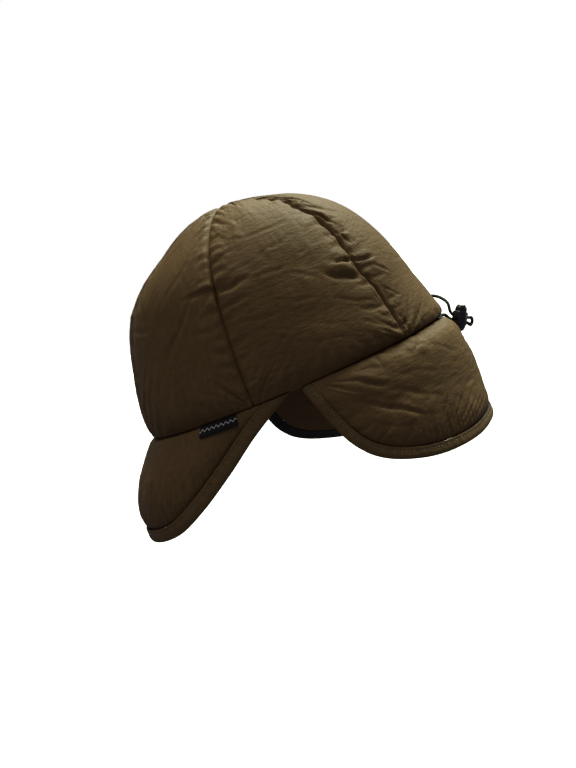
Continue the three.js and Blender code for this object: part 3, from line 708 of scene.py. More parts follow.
CROWN_CREASES = [
    # side, azimuth, elevation, turn, half length, half width, relief in mm
    (1, 115, 24.5, -24, 12, 3.4, 2.4),
    (1, 121, 28.5, -9, 7, 1.7, 2.6),
    (1, 131, 27, -4, 7, 1.9, 2.6),
    (1, 136, 22, -40, 7, 2, 1.4),
    (1, 133, 14, -40, 7, 1.8, 0.9),
    (1, 142, 32, 8, 13, 2.6, 0.4),
    (1, 140, 9, -20, 12, 2.4, 0.3),
    (1, 131, 38, -9, 5, 1.6, 1.6),
    (1, 65, 34.5, 3, 12, 2.4, 2.2),
    (1, 84, 34, -4, 14, 2.2, 1.1),
    (1, 99, 29, -36, 11, 2.4, 0.7),
    (1, 63, 29, 6, 11, 2, 1.3),
    (1, 70, 22, -6, 17, 2.4, 0.9),
    (1, 92, 22.5, -11, 11, 2.2, 0.7),
    (1, 112, 17, -18, 17, 2.4, 0.7),
    (1, 100, 12.5, -15, 24, 2.2, 0.5),
    (1, 94, 9, -13, 26, 2.4, 0.7),
    (1, 74, 14, -4, 20, 2.6, 0.7),
    (1, 77, 51, -12, 16, 2.6, 0.7),
    (1, 109, 37, 7, 12, 2.4, 0.8),
    (1, 92, 42, 12, 18, 2.4, 0.7),
    (1, 102, 50, 4, 16, 2.2, 0.6),
    (1, 86, 60, 14, 14, 2.2, 0.5),
    (1, 66, 46, 14, 12, 2.2, 0.7),
    (1, 75, 6, -2, 28, 2.8, 0.6),
    (1, 134.5, 63, -68, 7, 1.4, 1.2),
    (1, 131.6, 47, -80, 8, 1.6, 2),
    (1, 130, 37, -84, 8, 1.5, 1.2),
    (1, 52, 36, -5, 10, 2.2, 2.2),
    (1, 52, 41.5, 10, 7, 2, 0.9),
    (1, 36, 25, 50, 27, 2.8, 1.4),
    (1, 50, 24, -8, 6, 1.8, 0.8),
    (1, 15, 31, -7, 12, 2.8, 1.4),
    (1, 15, 38, -62, 12, 2.4, 0.9),
    (1, 27, 59, 60, 12, 2.4, 0.7),
    (1, 38, 44, 56, 14, 2.4, 0.7),
    (1, 12, 13, 56, 24, 2, 1),
    (1, 17, 12, 60, 22, 2, 0.9),
    (1, 23, 13, 62, 22, 1.9, 0.8),
    (1, 29, 13, 66, 20, 2, 0.7),
    (1, 36, 12, 68, 18, 2.2, 0.5),
    (1, 140, 48, -56, 14, 2.6, 0.6),
    (1, 160, 16, -50, 16, 2.6, 0.6),
    (1, 152, 24, -12, 20, 2.6, 0.6),
    (-1, 129, 33, -6, 15, 2.6, 2.4),
    (-1, 119, 28, -22, 14, 2.6, 1.4),
    (-1, 134, 44, -80, 12, 2.2, 1.6),
    (-1, 58, 24, 8, 13, 2.4, 1.9),
    (-1, 66, 30, 12, 14, 2.4, 1),
    (-1, 96, 42, -8, 30, 2.8, 1),
    (-1, 84, 18, 7, 34, 2.6, 1),
    (-1, 100, 11, -10, 26, 2.4, 0.8),
    (-1, 104, 28, 16, 20, 2.6, 0.9),
    (-1, 80, 50, 10, 18, 2.4, 0.7),
    (-1, 30, 24, 62, 28, 2.6, 1.2),
    (-1, 20, 46, 70, 18, 2.4, 0.8),
    (-1, 22, 12, 60, 20, 2.2, 0.7),
    (-1, 34, 12, 68, 18, 2.2, 0.6),
    (-1, 150, 22, 10, 22, 2.6, 0.9),
    (-1, 156, 48, -14, 20, 2.6, 0.8),
]

SMALL_CREASES = [
    # panel's place from the front, lumpiness, creases, usual turn, spread of the turn
    (0, 0.8, 34, 66, 16),
    (1, 1, 64, -6, 16),
    (2, 0.45, 14, -20, 24),
]


# %% Shapes of folds and creases
CREASE_WAVER = 0.35
CREASE_WAVER_SPACING_MM = 26


def fold_share(x, y, turn, half_length, half_width):
    """1 on the middle of a fold, falling to 0 around it. x and y are mm from its middle."""
    t = math.radians(turn)
    along = (x * math.cos(t) + y * math.sin(t)) / half_length
    off = (y * math.cos(t) - x * math.sin(t)) / half_width
    return np.exp(-along ** 2 - off ** 2)


def wavy(s, spacing, seed):
    """A smooth random wave along s, between -1 and 1, whose crests lie about spacing apart."""
    rng = np.random.default_rng(seed)
    knots = np.cumsum(spacing / 2 * rng.uniform(0.55, 1.45, 500)) - 50 * spacing
    heights = rng.uniform(0.35, 1, 500) * np.where(np.arange(500) % 2, 1, -1)
    k = np.clip(np.searchsorted(knots, s) - 1, 0, 498)
    w = np.clip((s - knots[k]) / (knots[k + 1] - knots[k]), 0, 1)
    w = (1 - np.cos(np.pi * w)) / 2
    return heights[k] * (1 - w) + heights[k + 1] * w


def crease_profile(x, y, turn, half_length, half_width, seed=0):
    """A sharp valley between two soft swellings, which wavers and fades at both ends."""
    t = math.radians(turn)
    along = x * math.cos(t) + y * math.sin(t)
    off = (y * math.cos(t) - x * math.sin(t)) / half_width
    off = off + CREASE_WAVER * wavy(along, CREASE_WAVER_SPACING_MM, seed)
    valley = np.exp(-1.5 * np.sqrt(off ** 2 + 0.03))
    swellings = 0.55 * np.exp(-(off / 2.3) ** 2)
    return 2 * (swellings - valley) * np.exp(-np.abs(along / half_length) ** 3)


def pressed(folds, creases, from_middle):
    """What the folds leave of the puff, and the height of the creases, over a sheet.

    from_middle gives the distance in mm from a row's middle. Creases come with their seeds.
    """
    left = 1.0
    height = 0.0
    for *middle, turn, half_length, half_width, share in folds:
        x, y = from_middle(*middle)
        left = left * (1 - share * fold_share(x, y, turn, half_length, half_width))
    for seed, (*middle, turn, half_length, half_width, relief) in creases:
        x, y = from_middle(*middle)
        height = height + relief * MM * crease_profile(x, y, turn, half_length, half_width, seed)
    return left, height


# %% Random creases and noise
def small_creases(x, y, count, turn, spread, seed):
    """Short creases at random places of a sheet. x and y are its flat coordinates in mm."""
    rng = np.random.default_rng(seed)
    height = np.zeros_like(x)
    for k in range(count):
        middle_x = rng.uniform(x.min(), x.max())
        middle_y = rng.uniform(y.min(), y.max())
        half_length = rng.uniform(4, 14)
        half_width = rng.uniform(0.9, 1.9)
        relief = rng.uniform(0.12, 0.4) * rng.choice((1, -1))
        turned = rng.normal(turn, spread)
        shape = crease_profile(x - middle_x, y - middle_y, turned, half_length, half_width, seed + k)
        height += relief * shape
    return height * MM


def soft_noise(points, size, seed):
    """Smooth noise in space, about -1 to 1, with lumps of the given size in metres."""
    offset = Vector((17.3 * seed, 9.1 * seed, 3.7 * seed))
    flat = points.reshape(-1, 3) / size
    values = [noise.noise(Vector(p) + offset) for p in flat]
    return np.array(values).reshape(points.shape[:-1])


# %% [markdown]
# ## Closing a piece
#
# Each padded piece is an outer sheet and an inner sheet that meet in the seams. Stitching the
# two grids together along their borders gives one closed skin. The outer grid is as fine as
# the creases need, and the plain inner one takes every second point.

# %% Closed skin
def cloth_coordinates(made, grid_mm):
    """Stores flat cloth coordinates in mm as a UV map, for the yarn's direction."""
    layer = made.data.uv_layers.new(name="cloth")
    loops = np.empty(len(made.data.loops), np.int32)
    made.data.loops.foreach_get("vertex_index", loops)
    layer.data.foreach_set("uv", grid_mm[loops].astype(np.float32).ravel())


def keep_sharp(made, chosen):
    """The edges between chosen points stay sharp when the mesh is subdivided."""
    edges = np.empty(len(made.data.edges) * 2, np.int32)
    made.data.edges.foreach_get("vertices", edges)
    hard = chosen[edges.reshape(-1, 2)].all(1)
    creases = made.data.attributes.new("crease_edge", "FLOAT", "EDGE")
    creases.data.foreach_set("value", hard.astype(np.float32))


def wall(fine, coarse, turned):
    """Five-sided faces between a border and one that has every second of its points."""
    corners = zip(fine[:-1:2], fine[1::2], fine[2::2], coarse[:-1], coarse[1:])
    made = [(a, b, c, e, d) for a, b, c, d, e in corners]
    return [face[::-1] for face in made] if turned else made


def closed_skin(name, outer, inner, flat_mm):
    """One closed mesh. Both grids run towards the wearer's left and upwards."""
    rows, columns = outer.shape[:2]
    out = numbered(rows, columns)
    inn = numbered(rows // 2 + 1, columns // 2 + 1, rows * columns)
    faces = quads_over(out).tolist() + quads_over(inn)[:, ::-1].tolist()
    borders = [
        (out[:, 0], inn[:, 0], False),
        (out[:, -1], inn[:, -1], True),
        (out[0], inn[0], True),
        (out[-1], inn[-1], False),
    ]
    for fine, coarse, turned in borders:
        faces += wall(fine.tolist(), coarse.tolist(), turned)
    points = np.concatenate([outer.reshape(-1, 3), inner[::2, ::2].reshape(-1, 3)])
    made = mesh_object(name, points, faces)
    cloth_coordinates(made, np.concatenate([flat_mm.reshape(-1, 2), flat_mm[::2, ::2].reshape(-1, 2)]))
    smooth_faces(made)
    return made


def finish_soft(made, node_name, material, subdivisions=1):
    made.data.materials.append(material)
    if subdivisions:
        rounding = made.modifiers.new("rounding", "SUBSURF")
        rounding.levels = subdivisions
        rounding.render_levels = subdivisions
    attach(made, "hat")
    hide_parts(node_name)
    print(made.name, len(made.data.polygons), "faces before rounding")


# %% [markdown]
# ## Crown panels
#
# Over each wedge the height of the cloth is a sum: the puff that the folds leave, the creases,
# lumps of the padding, puckers along the seams, and the seam's own groove and slit. Near the
# seams and the rim each share fades, because the stitching holds the cloth down there.

# %% Sizes of the panels
PANEL_SPACING = 1.0 * MM
LOWEST_ELEVATION = 0.05
HIGHEST_ELEVATION = 89.9
SEAM_GROOVE = 0.7 * MM
SEAM_GROOVE_REACH = 0.8 * MM
SEAM_SLIT = 1.8 * MM
SEAM_SLIT_WIDTH = 0.5 * MM
DEEPEST_SLIT = 2.2 * MM
SEWN_OVERLAP = 0.05 * MM
SEAM_LIP = 0.3 * MM
SEAM_LIP_PLACE = 2 * MM
PUCKER_HEIGHT = 0.8 * MM
PUCKER_REACH = 4 * MM
PUCKER_SPACING = 10 * MM
LUMP_SIZE = (30 * MM, 11 * MM)
LUMP_HEIGHT = 0.75 * MM
FINE_LUMP_SIZE = (13 * MM, 5 * MM)
FINE_LUMP_HEIGHT = 0.3 * MM
PATCH_SIZE = (34 * MM, 34 * MM)
TOP_CALM = 0.65
CALM_ELEVATION = 35
CALM_HEIGHT = 30

# How far from a seam, from the rim and from the top each kind of relief takes to reach its height
LUMP_FADE = (6 * MM, 8 * MM, 30 * MM)
CREASE_FADE = (1.5 * MM, 5 * MM)
RIM_PUCKER_FADE = 6 * MM
PUCKER_FADE = (8 * MM, 20 * MM)
SLACK_FADE = 30 * MM


# %% Relief of the cloth
def tighter_at_ends(length, spacing, tightness=0.55):
    """Shares from 0 to 1 with an even number of steps, closer together near both ends."""
    t = np.linspace(0, 1, 2 * round(length / spacing / 2) + 1)
    return t - tightness * np.sin(2 * np.pi * t) / (2 * np.pi)


def pucker(from_seam, along_seam, seed, spacing=PUCKER_SPACING):
    """Small folds square to a seam, a few of them strong, highest a few mm from it."""
    share = from_seam / PUCKER_REACH
    fade = share * np.exp(1 - share)
    wave = wavy(along_seam, spacing, seed)
    return PUCKER_HEIGHT * fade * wave * np.abs(wave)


def seam_line(from_seam):
    """A narrow groove with a soft lip beside it, and a slit where the cloth turns in."""
    lip = SEAM_LIP * np.exp(-((from_seam - SEAM_LIP_PLACE) / SEAM_LIP_PLACE) ** 2)
    slit = SEAM_SLIT * np.exp(-(from_seam / SEAM_SLIT_WIDTH) ** 2)
    return lip - slit - SEAM_GROOVE * np.exp(-from_seam / SEAM_GROOVE_REACH)


def flat_noise(flat, size, seed):
    """Smooth noise over the flat cloth, with lumps of a given width and height in metres."""
    u, v = flat[..., 0] * MM / size[0], flat[..., 1] * MM / size[1]
    return soft_noise(np.stack([u, v, np.full_like(u, 0.37)], -1), 1, seed)


def padding_lumps(flat, cut, scatter, crease_seed, lump_seed, fine_seed):
    """Small random creases and the lumps of the padding, in a sheet that nothing holds down."""
    lumps = small_creases(flat[..., 0], flat[..., 1], *scatter, seed=crease_seed)
    lumps += LUMP_HEIGHT * flat_noise(cut, LUMP_SIZE, lump_seed)
    return lumps + FINE_LUMP_HEIGHT * flat_noise(cut, FINE_LUMP_SIZE, fine_seed)


def slack_patches(flat, seed):
    """Where the cloth has room to buckle: nearly everywhere in some patches, hardly in others."""
    return np.clip(0.5 + 1.1 * flat_noise(flat, PATCH_SIZE, 20 + seed), 0.1, 1)


# %% One panel
def up_the_middle(middle):
    """Elevations up the middle of a panel and the way that the cloth runs to each."""
    profile = np.linspace(LOWEST_ELEVATION, HIGHEST_ELEVATION, 800)
    line = crown_base(middle, profile)
    return profile, np.concatenate([[0], np.cumsum(length_of(np.diff(line, axis=0)))])


def crown_lumps(number, flat, cut, near, from_rim, from_top, elevation, scatter):
    """Small random creases and lumps, calm near the seams and at the top."""
    lumps = padding_lumps(flat, cut, scatter, 200 + 100 * number, number, 10 + number)
    for distance, reach in zip((near, from_rim, from_top), LUMP_FADE):
        lumps *= ease_out(distance / reach)
    return lumps * (1 - TOP_CALM * np.clip((elevation - CALM_ELEVATION) / CALM_HEIGHT, 0, 1))


def crown_panel(number, seam_a, seam_b, side, seed_a, seed_b):
    profile, run = up_the_middle((seam_a[0] + seam_b[0]) / 2)
    elevation = np.interp(run[-1] * tighter_at_ends(run[-1], PANEL_SPACING, 0.35), run, profile)
    width = abs(seam_b[0] - seam_a[0]) * M_PER_DEGREE
    across = tighter_at_ends(width, PANEL_SPACING)
    elevation, across = np.meshgrid(elevation, across, indexing="ij")
    from_azimuth = seam_azimuth(seam_a, elevation)
    to_azimuth = seam_azimuth(seam_b, elevation)
    ring_radius = length_of(crown_base((from_azimuth + to_azimuth) / 2, elevation)[..., :2])
    over = np.degrees(SEWN_OVERLAP / np.maximum(ring_radius, 1 * MM))
    azimuth = from_azimuth - over + (to_azimuth - from_azimuth + 2 * over) * across
    base = crown_base(azimuth, elevation)
    normal = normal_of(crown_base, azimuth, elevation)
    height = base[..., 2]
    at_seam = np.where(across < 0.5, puff_at_seam(seam_a, elevation), puff_at_seam(seam_b, elevation))
    bulge = at_seam + (1 - at_seam) * (1 - np.abs(2 * across - 1) ** BULGE_POWER)
    full_height = between(FULL_PUFF_HEIGHT_FRONT, FULL_PUFF_HEIGHT_BACK, backness(azimuth))
    puff = bulge * np.minimum(1, ring_radius / NARROW_RING_RADIUS) * ease_out(height / full_height)

    def from_middle(row_azimuth, row_elevation):
        x = (azimuth - row_azimuth) * M_PER_DEGREE / MM * math.cos(math.radians(row_elevation))
        return x, (elevation - row_elevation) * M_PER_RISE / MM

    folds = [row[1:] for row in CROWN_FOLDS if row[0] == side]
    creases = [(k, row[1:]) for k, row in enumerate(CROWN_CREASES) if row[0] == side]
    left, crease = pressed(folds, creases, from_middle)
    row_width = np.radians(to_azimuth - from_azimuth) * ring_radius
    from_a = across * row_width
    from_b = (1 - across) * row_width
    from_rim = np.interp(elevation, profile, run)
    from_top = run[-1] - from_rim
    near = np.minimum(from_a, from_b)
    flat = np.stack([from_a - row_width / 2, from_rim], -1) / MM
    puckers = pucker(from_a, from_rim, seed_a) + pucker(from_b, from_rim, seed_b)
    at_rim = pucker(from_rim, azimuth * M_PER_DEGREE, 40 + number)
    puckers += at_rim * ease_out(near / RIM_PUCKER_FADE)
    crease *= ease_out(near / CREASE_FADE[0]) * ease_out(from_rim / CREASE_FADE[1])
    place, lumpiness, *scatter = SMALL_CREASES[(number - 1) % 3]
    # The front panels are cut with their yarn upright.
    cut = flat[..., ::-1] if place == 0 else flat
    lumps = lumpiness * crown_lumps(number, flat, cut, near, from_rim, from_top, elevation, scatter)
    roll = between(RIM_ROLL_FRONT, RIM_ROLL_BACK, backness(azimuth) ** 3)
    rolled = ease_out(height / RIM_ROLL_HEIGHT) * np.exp(-height / RIM_ROLL_FADE)
    settle = ease_out(from_rim / PUCKER_FADE[0]) * ease_out(from_top / PUCKER_FADE[1])
    lift = PANEL_PUFF * puff * left + roll * rolled + crease + lumps + puckers * settle
    lift += seam_line(near) - SEAM_SLIT * np.exp(-(from_rim / SEAM_SLIT_WIDTH) ** 2)
    lift = np.maximum(lift, -DEEPEST_SLIT)
    depth = SEAM_WALL + PANEL_INNER_PUFF * puff
    outer = base + normal * lift[..., None]
    inner = base - normal * depth[..., None]
    for sheet in (outer, inner):
        sheet[0, :, 2] = -SEWN_OVERLAP
        sheet[..., 2] = np.maximum(sheet[..., 2], -SEWN_OVERLAP)
    for sheet in (outer, inner, normal):
        sheet[..., 0] *= side
    slack = ease_out(ring_radius / SLACK_FADE) * slack_patches(flat, number)
    sheets = [outer, inner, normal, cut, slack]
    if side < 0:
        sheets = [sheet[:, ::-1] for sheet in sheets]
    return dict(zip(("outer", "inner", "normal", "flat", "slack"), sheets), name=f"crown_wedge_{number}")


# %% Six panels
# Both panels at a seam take the same seed, so their puckers meet.
crown = []
for side in (1, -1):
    for k in range(len(CROWN_SEAMS) - 1):
        seams = CROWN_SEAMS[k:k + 2]
        crown.append(crown_panel(len(crown) + 1, *seams, side, 100 + k * side, 100 + (k + 1) * side))
print("crown sheets", [sheet["outer"].shape[:2] for sheet in crown])

# %% [markdown]
# ## Flaps
#
# The visor and the neck flap are padded bands that hang from the rim seam. Each is described by
# the arc along the rim and the drop below it. A smooth line through a few measured places gives
# the free edge, and a reach function says how far the face stands out as it hangs.

# %% Sizes and edges of the flaps
VISOR_REACH = 28 * MM
VISOR_REACH_DEPTH = 54 * MM
VISOR_NARROWING = 1.2
VISOR_POINT = 1.5
VISOR_BINDING_WIDTH = 9 * MM
NECK_REACH = 8 * MM
NECK_REACH_DEPTH = 13 * MM
NECK_SPREAD_FRONT = 1.5 * MM
NECK_FLARE_SIDE = 0.18
NECK_FLARE_BACK = 0.04
NECK_BINDING_WIDTH = 7 * MM
RIGHT_EAR_ARC = 130 * MM
RIGHT_EAR_RISE = 0.08
RIGHT_EAR_SPREAD = 0.16
BACK_DENT_DEPTH = 4 * MM
BACK_DENT_HALF_WIDTH = 12 * MM
BACK_DENT_HEIGHT = 26 * MM

VISOR_EDGE = [
    # arc, drop
    (0, 59.5),
    (20, 59),
    (36, 55.5),
    (52, 46),
    (69, 32.5),
    (87, 18),
    (104, 8),
    (114, 2.8),
    (120, 0),
]
NECK_EDGE = [
    # arc, drop
    (0, 70.5),
    (38, 72),
    (70, 73.8),
    (100, 71.5),
    (122, 65.5),
    (140, 56),
    (152, 42.5),
    (160, 23),
    (167, 0),
]


# %% How far the flaps stand out
def visor_reach(azimuth, drop):
    spread = np.maximum(0, np.cos(np.radians(azimuth * VISOR_NARROWING))) ** VISOR_POINT
    return VISOR_REACH * spread * np.sin(np.pi / 2 * np.clip(drop / VISOR_REACH_DEPTH, 0, 1))


def neck_reach(azimuth, drop):
    from_back = M_PER_DEGREE * np.abs(np.abs(azimuth) - 180)
    dent = np.exp(-(from_back / BACK_DENT_HALF_WIDTH) ** 2 - (drop / BACK_DENT_HEIGHT) ** 2)
    flare = between(NECK_FLARE_SIDE, NECK_FLARE_BACK, np.abs(np.cos(np.radians(azimuth))))
    spread = between(NECK_SPREAD_FRONT, NECK_REACH, backness(azimuth)) - BACK_DENT_DEPTH * dent
    return spread * ease_out(drop / NECK_REACH_DEPTH) + flare * drop


def even_sides(arc):
    """The visor is the same on both sides."""
    return 0 * arc


def right_ear(arc):
    """The ear flap on the wearer's right stands a little further out and hangs less deep."""
    t = np.clip(arc / RIGHT_EAR_ARC, 0, 1)
    return t * t * (3 - 2 * t)


# %% Flap faces
VISOR = {
    "middle": 0,
    "reach": visor_reach,
    "loose": even_sides,
    "edge": VISOR_EDGE,
    "binding": VISOR_BINDING_WIDTH,
}
NECK = {
    "middle": 180,
    "reach": neck_reach,
    "loose": right_ear,
    "edge": NECK_EDGE,
    "binding": NECK_BINDING_WIDTH,
}
NORMAL_STEP = 0.01 * MM


def flap_face(flap, arc, drop):
    azimuth = flap["middle"] + arc / M_PER_DEGREE
    loose = flap["loose"](arc)
    turned = np.where(azimuth > 180, azimuth - 360, azimuth)
    out = flap["reach"](turned, drop) + RIGHT_EAR_SPREAD * loose * drop
    return around(azimuth, rim_radius(azimuth) + out, -drop * (1 - RIGHT_EAR_RISE * loose))


def face_and_normal(flap, arc, drop):
    """Points of a flap's face, and the directions that point out of it."""
    def face(u, v):
        return flap_face(flap, u, v)

    return face(arc, drop), -normal_of(face, arc, drop, NORMAL_STEP)


def free_edge(flap, spacing):
    """The free edge and the line one binding width inside it, as (arc, drop), evenly spaced."""
    half = np.array(flap["edge"], float) * MM
    whole = np.concatenate([half[:0:-1] * [-1, 1], half])
    fine = catmull_rom(whole, np.linspace(0, len(whole) - 1, 4000))
    run = np.concatenate([[0], np.cumsum(length_of(np.diff(fine, axis=0)))])
    where = np.linspace(0, run[-1], round(run[-1] / spacing) + 1)
    edge = np.stack([np.interp(where, run, fine[:, i]) for i in range(2)], -1)
    tangent = np.gradient(edge, axis=0)
    tangent /= length_of(tangent)[:, None]
    inward = np.stack([tangent[:, 1], -tangent[:, 0]], -1)
    return edge, edge + inward * flap["binding"], inward, where


for name, flap in (("visor", VISOR), ("neck flap", NECK)):
    run = free_edge(flap, 1 * MM)[3]
    print(name, "edge in mm", round(float(run[-1]) / MM))

# %% [markdown]
# ## Flap pads
#
# A flap's pad reaches from the rim to the binding. Its padding is thickest low down, where it
# has sunk, and thin near both ends. Many short creases fan out from the binding, because the
# long edge of the cloth is eased into a shorter tape.

# %% Folds and creases of the flaps
FLAP_PUFF = 2.8 * MM
FLAP_INNER_PUFF = 1.6 * MM
FLAP_FAN = 1.2
FILL_POWER = 0.7
FILL_LEAN = 0.75
FILL_TAPER_SHARE = 1 / 8
FULL_PAD_DROP = 40 * MM
GATHER_SPACING = 17 * MM
GATHER_DEPTH = 0.8 * MM
FLAP_SPACING = 1.0 * MM

NECK_FOLDS = [
    # arc, drop, turn, half length, half width, share of the puff taken away
    (-116, 30, -8, 34, 8, 0.8),
    (-62, 44, 12, 28, 8, 0.5),
    (112, 34, 10, 32, 8, 0.7),
    (48, 26, -14, 26, 8, 0.5),
]
VISOR_FOLDS = [
    # arc, drop, turn, half length, half width, share of the puff taken away
    (6, 22, 84, 18, 7, 0.5),
    (44, 20, 70, 16, 6, 0.4),
    (-40, 22, 108, 16, 6, 0.4),
]
NECK_CREASES = [
    # arc, drop, turn, half length, half width, relief in mm
    (-121, 34, -34, 20, 2.4, 1.8),
    (-104, 31, -30, 18, 2.2, 0.7),
    (-128, 14, -35, 10, 2.2, 1.1),
    (-95, 21, -19, 17, 2.4, 0.6),
    (-70, 14, -28, 19, 2.4, 0.6),
    (-125, 44, -34, 20, 2.4, 0.8),
    (-84, 6, 30, 6, 2, 1.2),
    (-59, 4, -4, 15, 2.2, 0.8),
    (-114, 3, 62, 5, 1.8, 1),
    (-98, 46, 47, 9, 1.5, 0.7),
    (-89, 47, 40, 10, 1.5, 0.8),
    (-84, 51, 36, 10, 1.4, 0.8),
    (-79, 52, 30, 11, 1.5, 0.8),
    (-73, 55, 27, 12, 1.4, 0.8),
    (-68, 57, 24, 13, 1.5, 0.7),
    (-61, 58, 22, 13, 1.4, 0.7),
    (-54, 59, 20, 14, 1.5, 0.6),
    (-34, 40, 64, 16, 2.2, 0.7),
    (-20, 30, 76, 14, 2.4, 0.7),
    (112, 34, 24, 24, 2.6, 1.6),
    (96, 22, 16, 20, 2.4, 1),
    (124, 44, 30, 14, 2.2, 0.9),
    (70, 18, 20, 18, 2.4, 0.9),
    (48, 30, -50, 16, 2.4, 0.8),
    (20, 34, -70, 16, 2.4, 0.7),
    (84, 50, -34, 11, 1.6, 0.7),
    (70, 54, -28, 12, 1.6, 0.6),
]
VISOR_CREASES = [
    # arc, drop, turn, half length, half width, relief in mm
    (4, 24, 86, 14, 2, 0.7),
    (16, 31, 82, 12, 1.8, 0.8),
    (22, 30, 86, 14, 1.8, 0.7),
    (30, 29, 83, 14, 1.9, 0.7),
    (40, 22, 76, 14, 2.2, 0.7),
    (60, 18, -66, 9, 2, 0.6),
    (52, 24, 40, 10, 1.8, 0.6),
    (-10, 30, 94, 13, 1.9, 0.7),
    (-24, 28, 98, 13, 1.9, 0.7),
    (-42, 22, 106, 13, 2.1, 0.7),
]
GATHERED = [
    # flap's middle azimuth, arc, half length, strength
    (180, -78, 30, 0.5),
    (180, 74, 26, 0.5),
    (0, 30, 40, 0.4),
    (0, -34, 36, 0.4),
]
GATHER_PITCH = 4.2 * MM
FLAP_CALM = 0.4
FLAP_CREASE_FADE = 3 * MM
FLAP_LUMP_FADE = (5 * MM, 6 * MM)


# %% Gathers
def gathered(flap, arc):
    """How strongly the cloth is gathered into the binding along a flap."""
    strength = 0.25 + 0 * arc
    for middle, where, half_length, more in GATHERED:
        if middle == flap["middle"]:
            strength += more * np.exp(-((arc / MM - where) / half_length) ** 2)
    return strength


# %% One flap
def flap_body(name, flap, folds, creases, scatter, seed):
    edge, seam, inward, where = free_edge(flap, FLAP_SPACING)
    below = np.nonzero(seam[:, 1] > 2 * FLAP_GAP)[0]
    first, last = below[0], len(edge) - 1 - below[0]
    last -= (last - first) % 2
    end = (seam + inward * 2 * FLAP_GAP)[first:last + 1]
    along = np.linspace(-1, 1, len(end))
    rim_arc = along * abs(seam[first, 0])
    longest = max(p[1] for p in flap["edge"]) * MM
    down = 1 - tighter_at_ends(longest, FLAP_SPACING, 0.45)
    down, rim_arc = np.meshgrid(down, rim_arc, indexing="ij")
    ease = np.sin(down * np.pi / 2) ** FLAP_FAN
    arc = between(rim_arc, end[:, 0], ease)
    drop = between(FLAP_GAP, np.maximum(end[:, 1], 2 * FLAP_GAP), down)
    base, normal = face_and_normal(flap, arc, drop)
    steps_from_end = np.minimum(np.arange(len(end)), np.arange(len(end))[::-1])
    taper = np.clip(steps_from_end / (len(edge) * FILL_TAPER_SHARE), 0, 1)
    padded = np.clip(end[:, 1] / FULL_PAD_DROP, 0, 1)
    fill = (np.sin(np.pi * down ** FILL_LEAN).clip(0) * taper) ** FILL_POWER * padded

    def from_middle(row_arc, row_drop):
        return arc / MM - row_arc, row_drop - drop / MM

    left, crease = pressed(folds, list(enumerate(creases, seed)), from_middle)
    gather = np.cos(2 * np.pi * end[:, 0] / GATHER_SPACING) * np.sin(np.pi * down * down)
    from_seam = (1 - down) * end[:, 1]
    from_rim = down * end[:, 1]
    edge_run = np.broadcast_to(where[first:last + 1], drop.shape)
    puckers = pucker(from_seam, edge_run, seed, GATHER_PITCH) * gathered(flap, arc)
    puckers += FLAP_CALM * pucker(from_rim, arc, seed + 1)
    flat = np.stack([arc, -drop], -1) / MM
    cut = flat[..., ::-1] if flap["middle"] == 0 else flat
    lumps = padding_lumps(flat, cut, scatter, 1000 + seed, seed + 2, seed + 3)
    crease *= ease_out(from_seam / FLAP_CREASE_FADE) * ease_out(from_rim / FLAP_CREASE_FADE)
    lumps *= ease_out(from_seam / FLAP_LUMP_FADE[0]) * ease_out(from_rim / FLAP_LUMP_FADE[1])
    lumps *= FLAP_CALM
    wrinkles = (crease + lumps) * taper * padded
    near = np.minimum(from_seam, from_rim)
    lift = FLAP_PUFF * fill * left + GATHER_DEPTH * gather * fill + wrinkles
    lift += puckers * taper * padded + seam_line(near) * taper
    lift = np.maximum(lift, -DEEPEST_SLIT)
    under_puff = FLAP_INNER_PUFF * fill + 0.6 * wrinkles
    outer = base + normal * lift[..., None]
    inner = base - normal * (SEAM_WALL + under_puff)[..., None]
    for sheet in (outer, inner):
        sheet[-1, :, 2] = -FLAP_GAP
        sheet[..., 2] = np.minimum(sheet[..., 2], -FLAP_GAP)
    slack = taper * padded * slack_patches(flat, seed)
    return {"name": name, "outer": outer, "inner": inner, "normal": normal, "flat": cut, "slack": slack}


# %% Two flaps
VISOR_SCATTER = (46, 84, 12)
NECK_SCATTER = (64, -16, 24)
flaps = [
    flap_body("visor_pad", VISOR, VISOR_FOLDS, VISOR_CREASES, VISOR_SCATTER, 61),
    flap_body("neck_pad", NECK, NECK_FOLDS, NECK_CREASES, NECK_SCATTER, 71),
]
print("flap sheets", [sheet["outer"].shape[:2] for sheet in flaps])

# %% [markdown]
# ## Letting the cloth settle
#
# The outer sheet of each pad is a little larger than the form that it covers, so it buckles into
# fine folds that fan out from the seams. Blender's Cloth finds them: each sheet is sewn down
# along its border, grows by a few percent and is pressed outwards by the padding. The dome has
# its swelling already, so the smooth part of the movement is taken out and the folds are kept.

# %% Cloth settings
CLOTH_FRAMES = 24
CLOTH_GROWTH = 0.035
PADDING_PRESSURE = 40
VERTEX_MASS = 0.0003
STRETCH_STIFFNESS = 2
CRUSH_STIFFNESS = 1
FOLD_STIFFNESS = 0.03
LARGEST_MOVE = 2.5 * MM
SWELLING_KEPT = 0.2
SMOOTHING_ROUNDS = 40


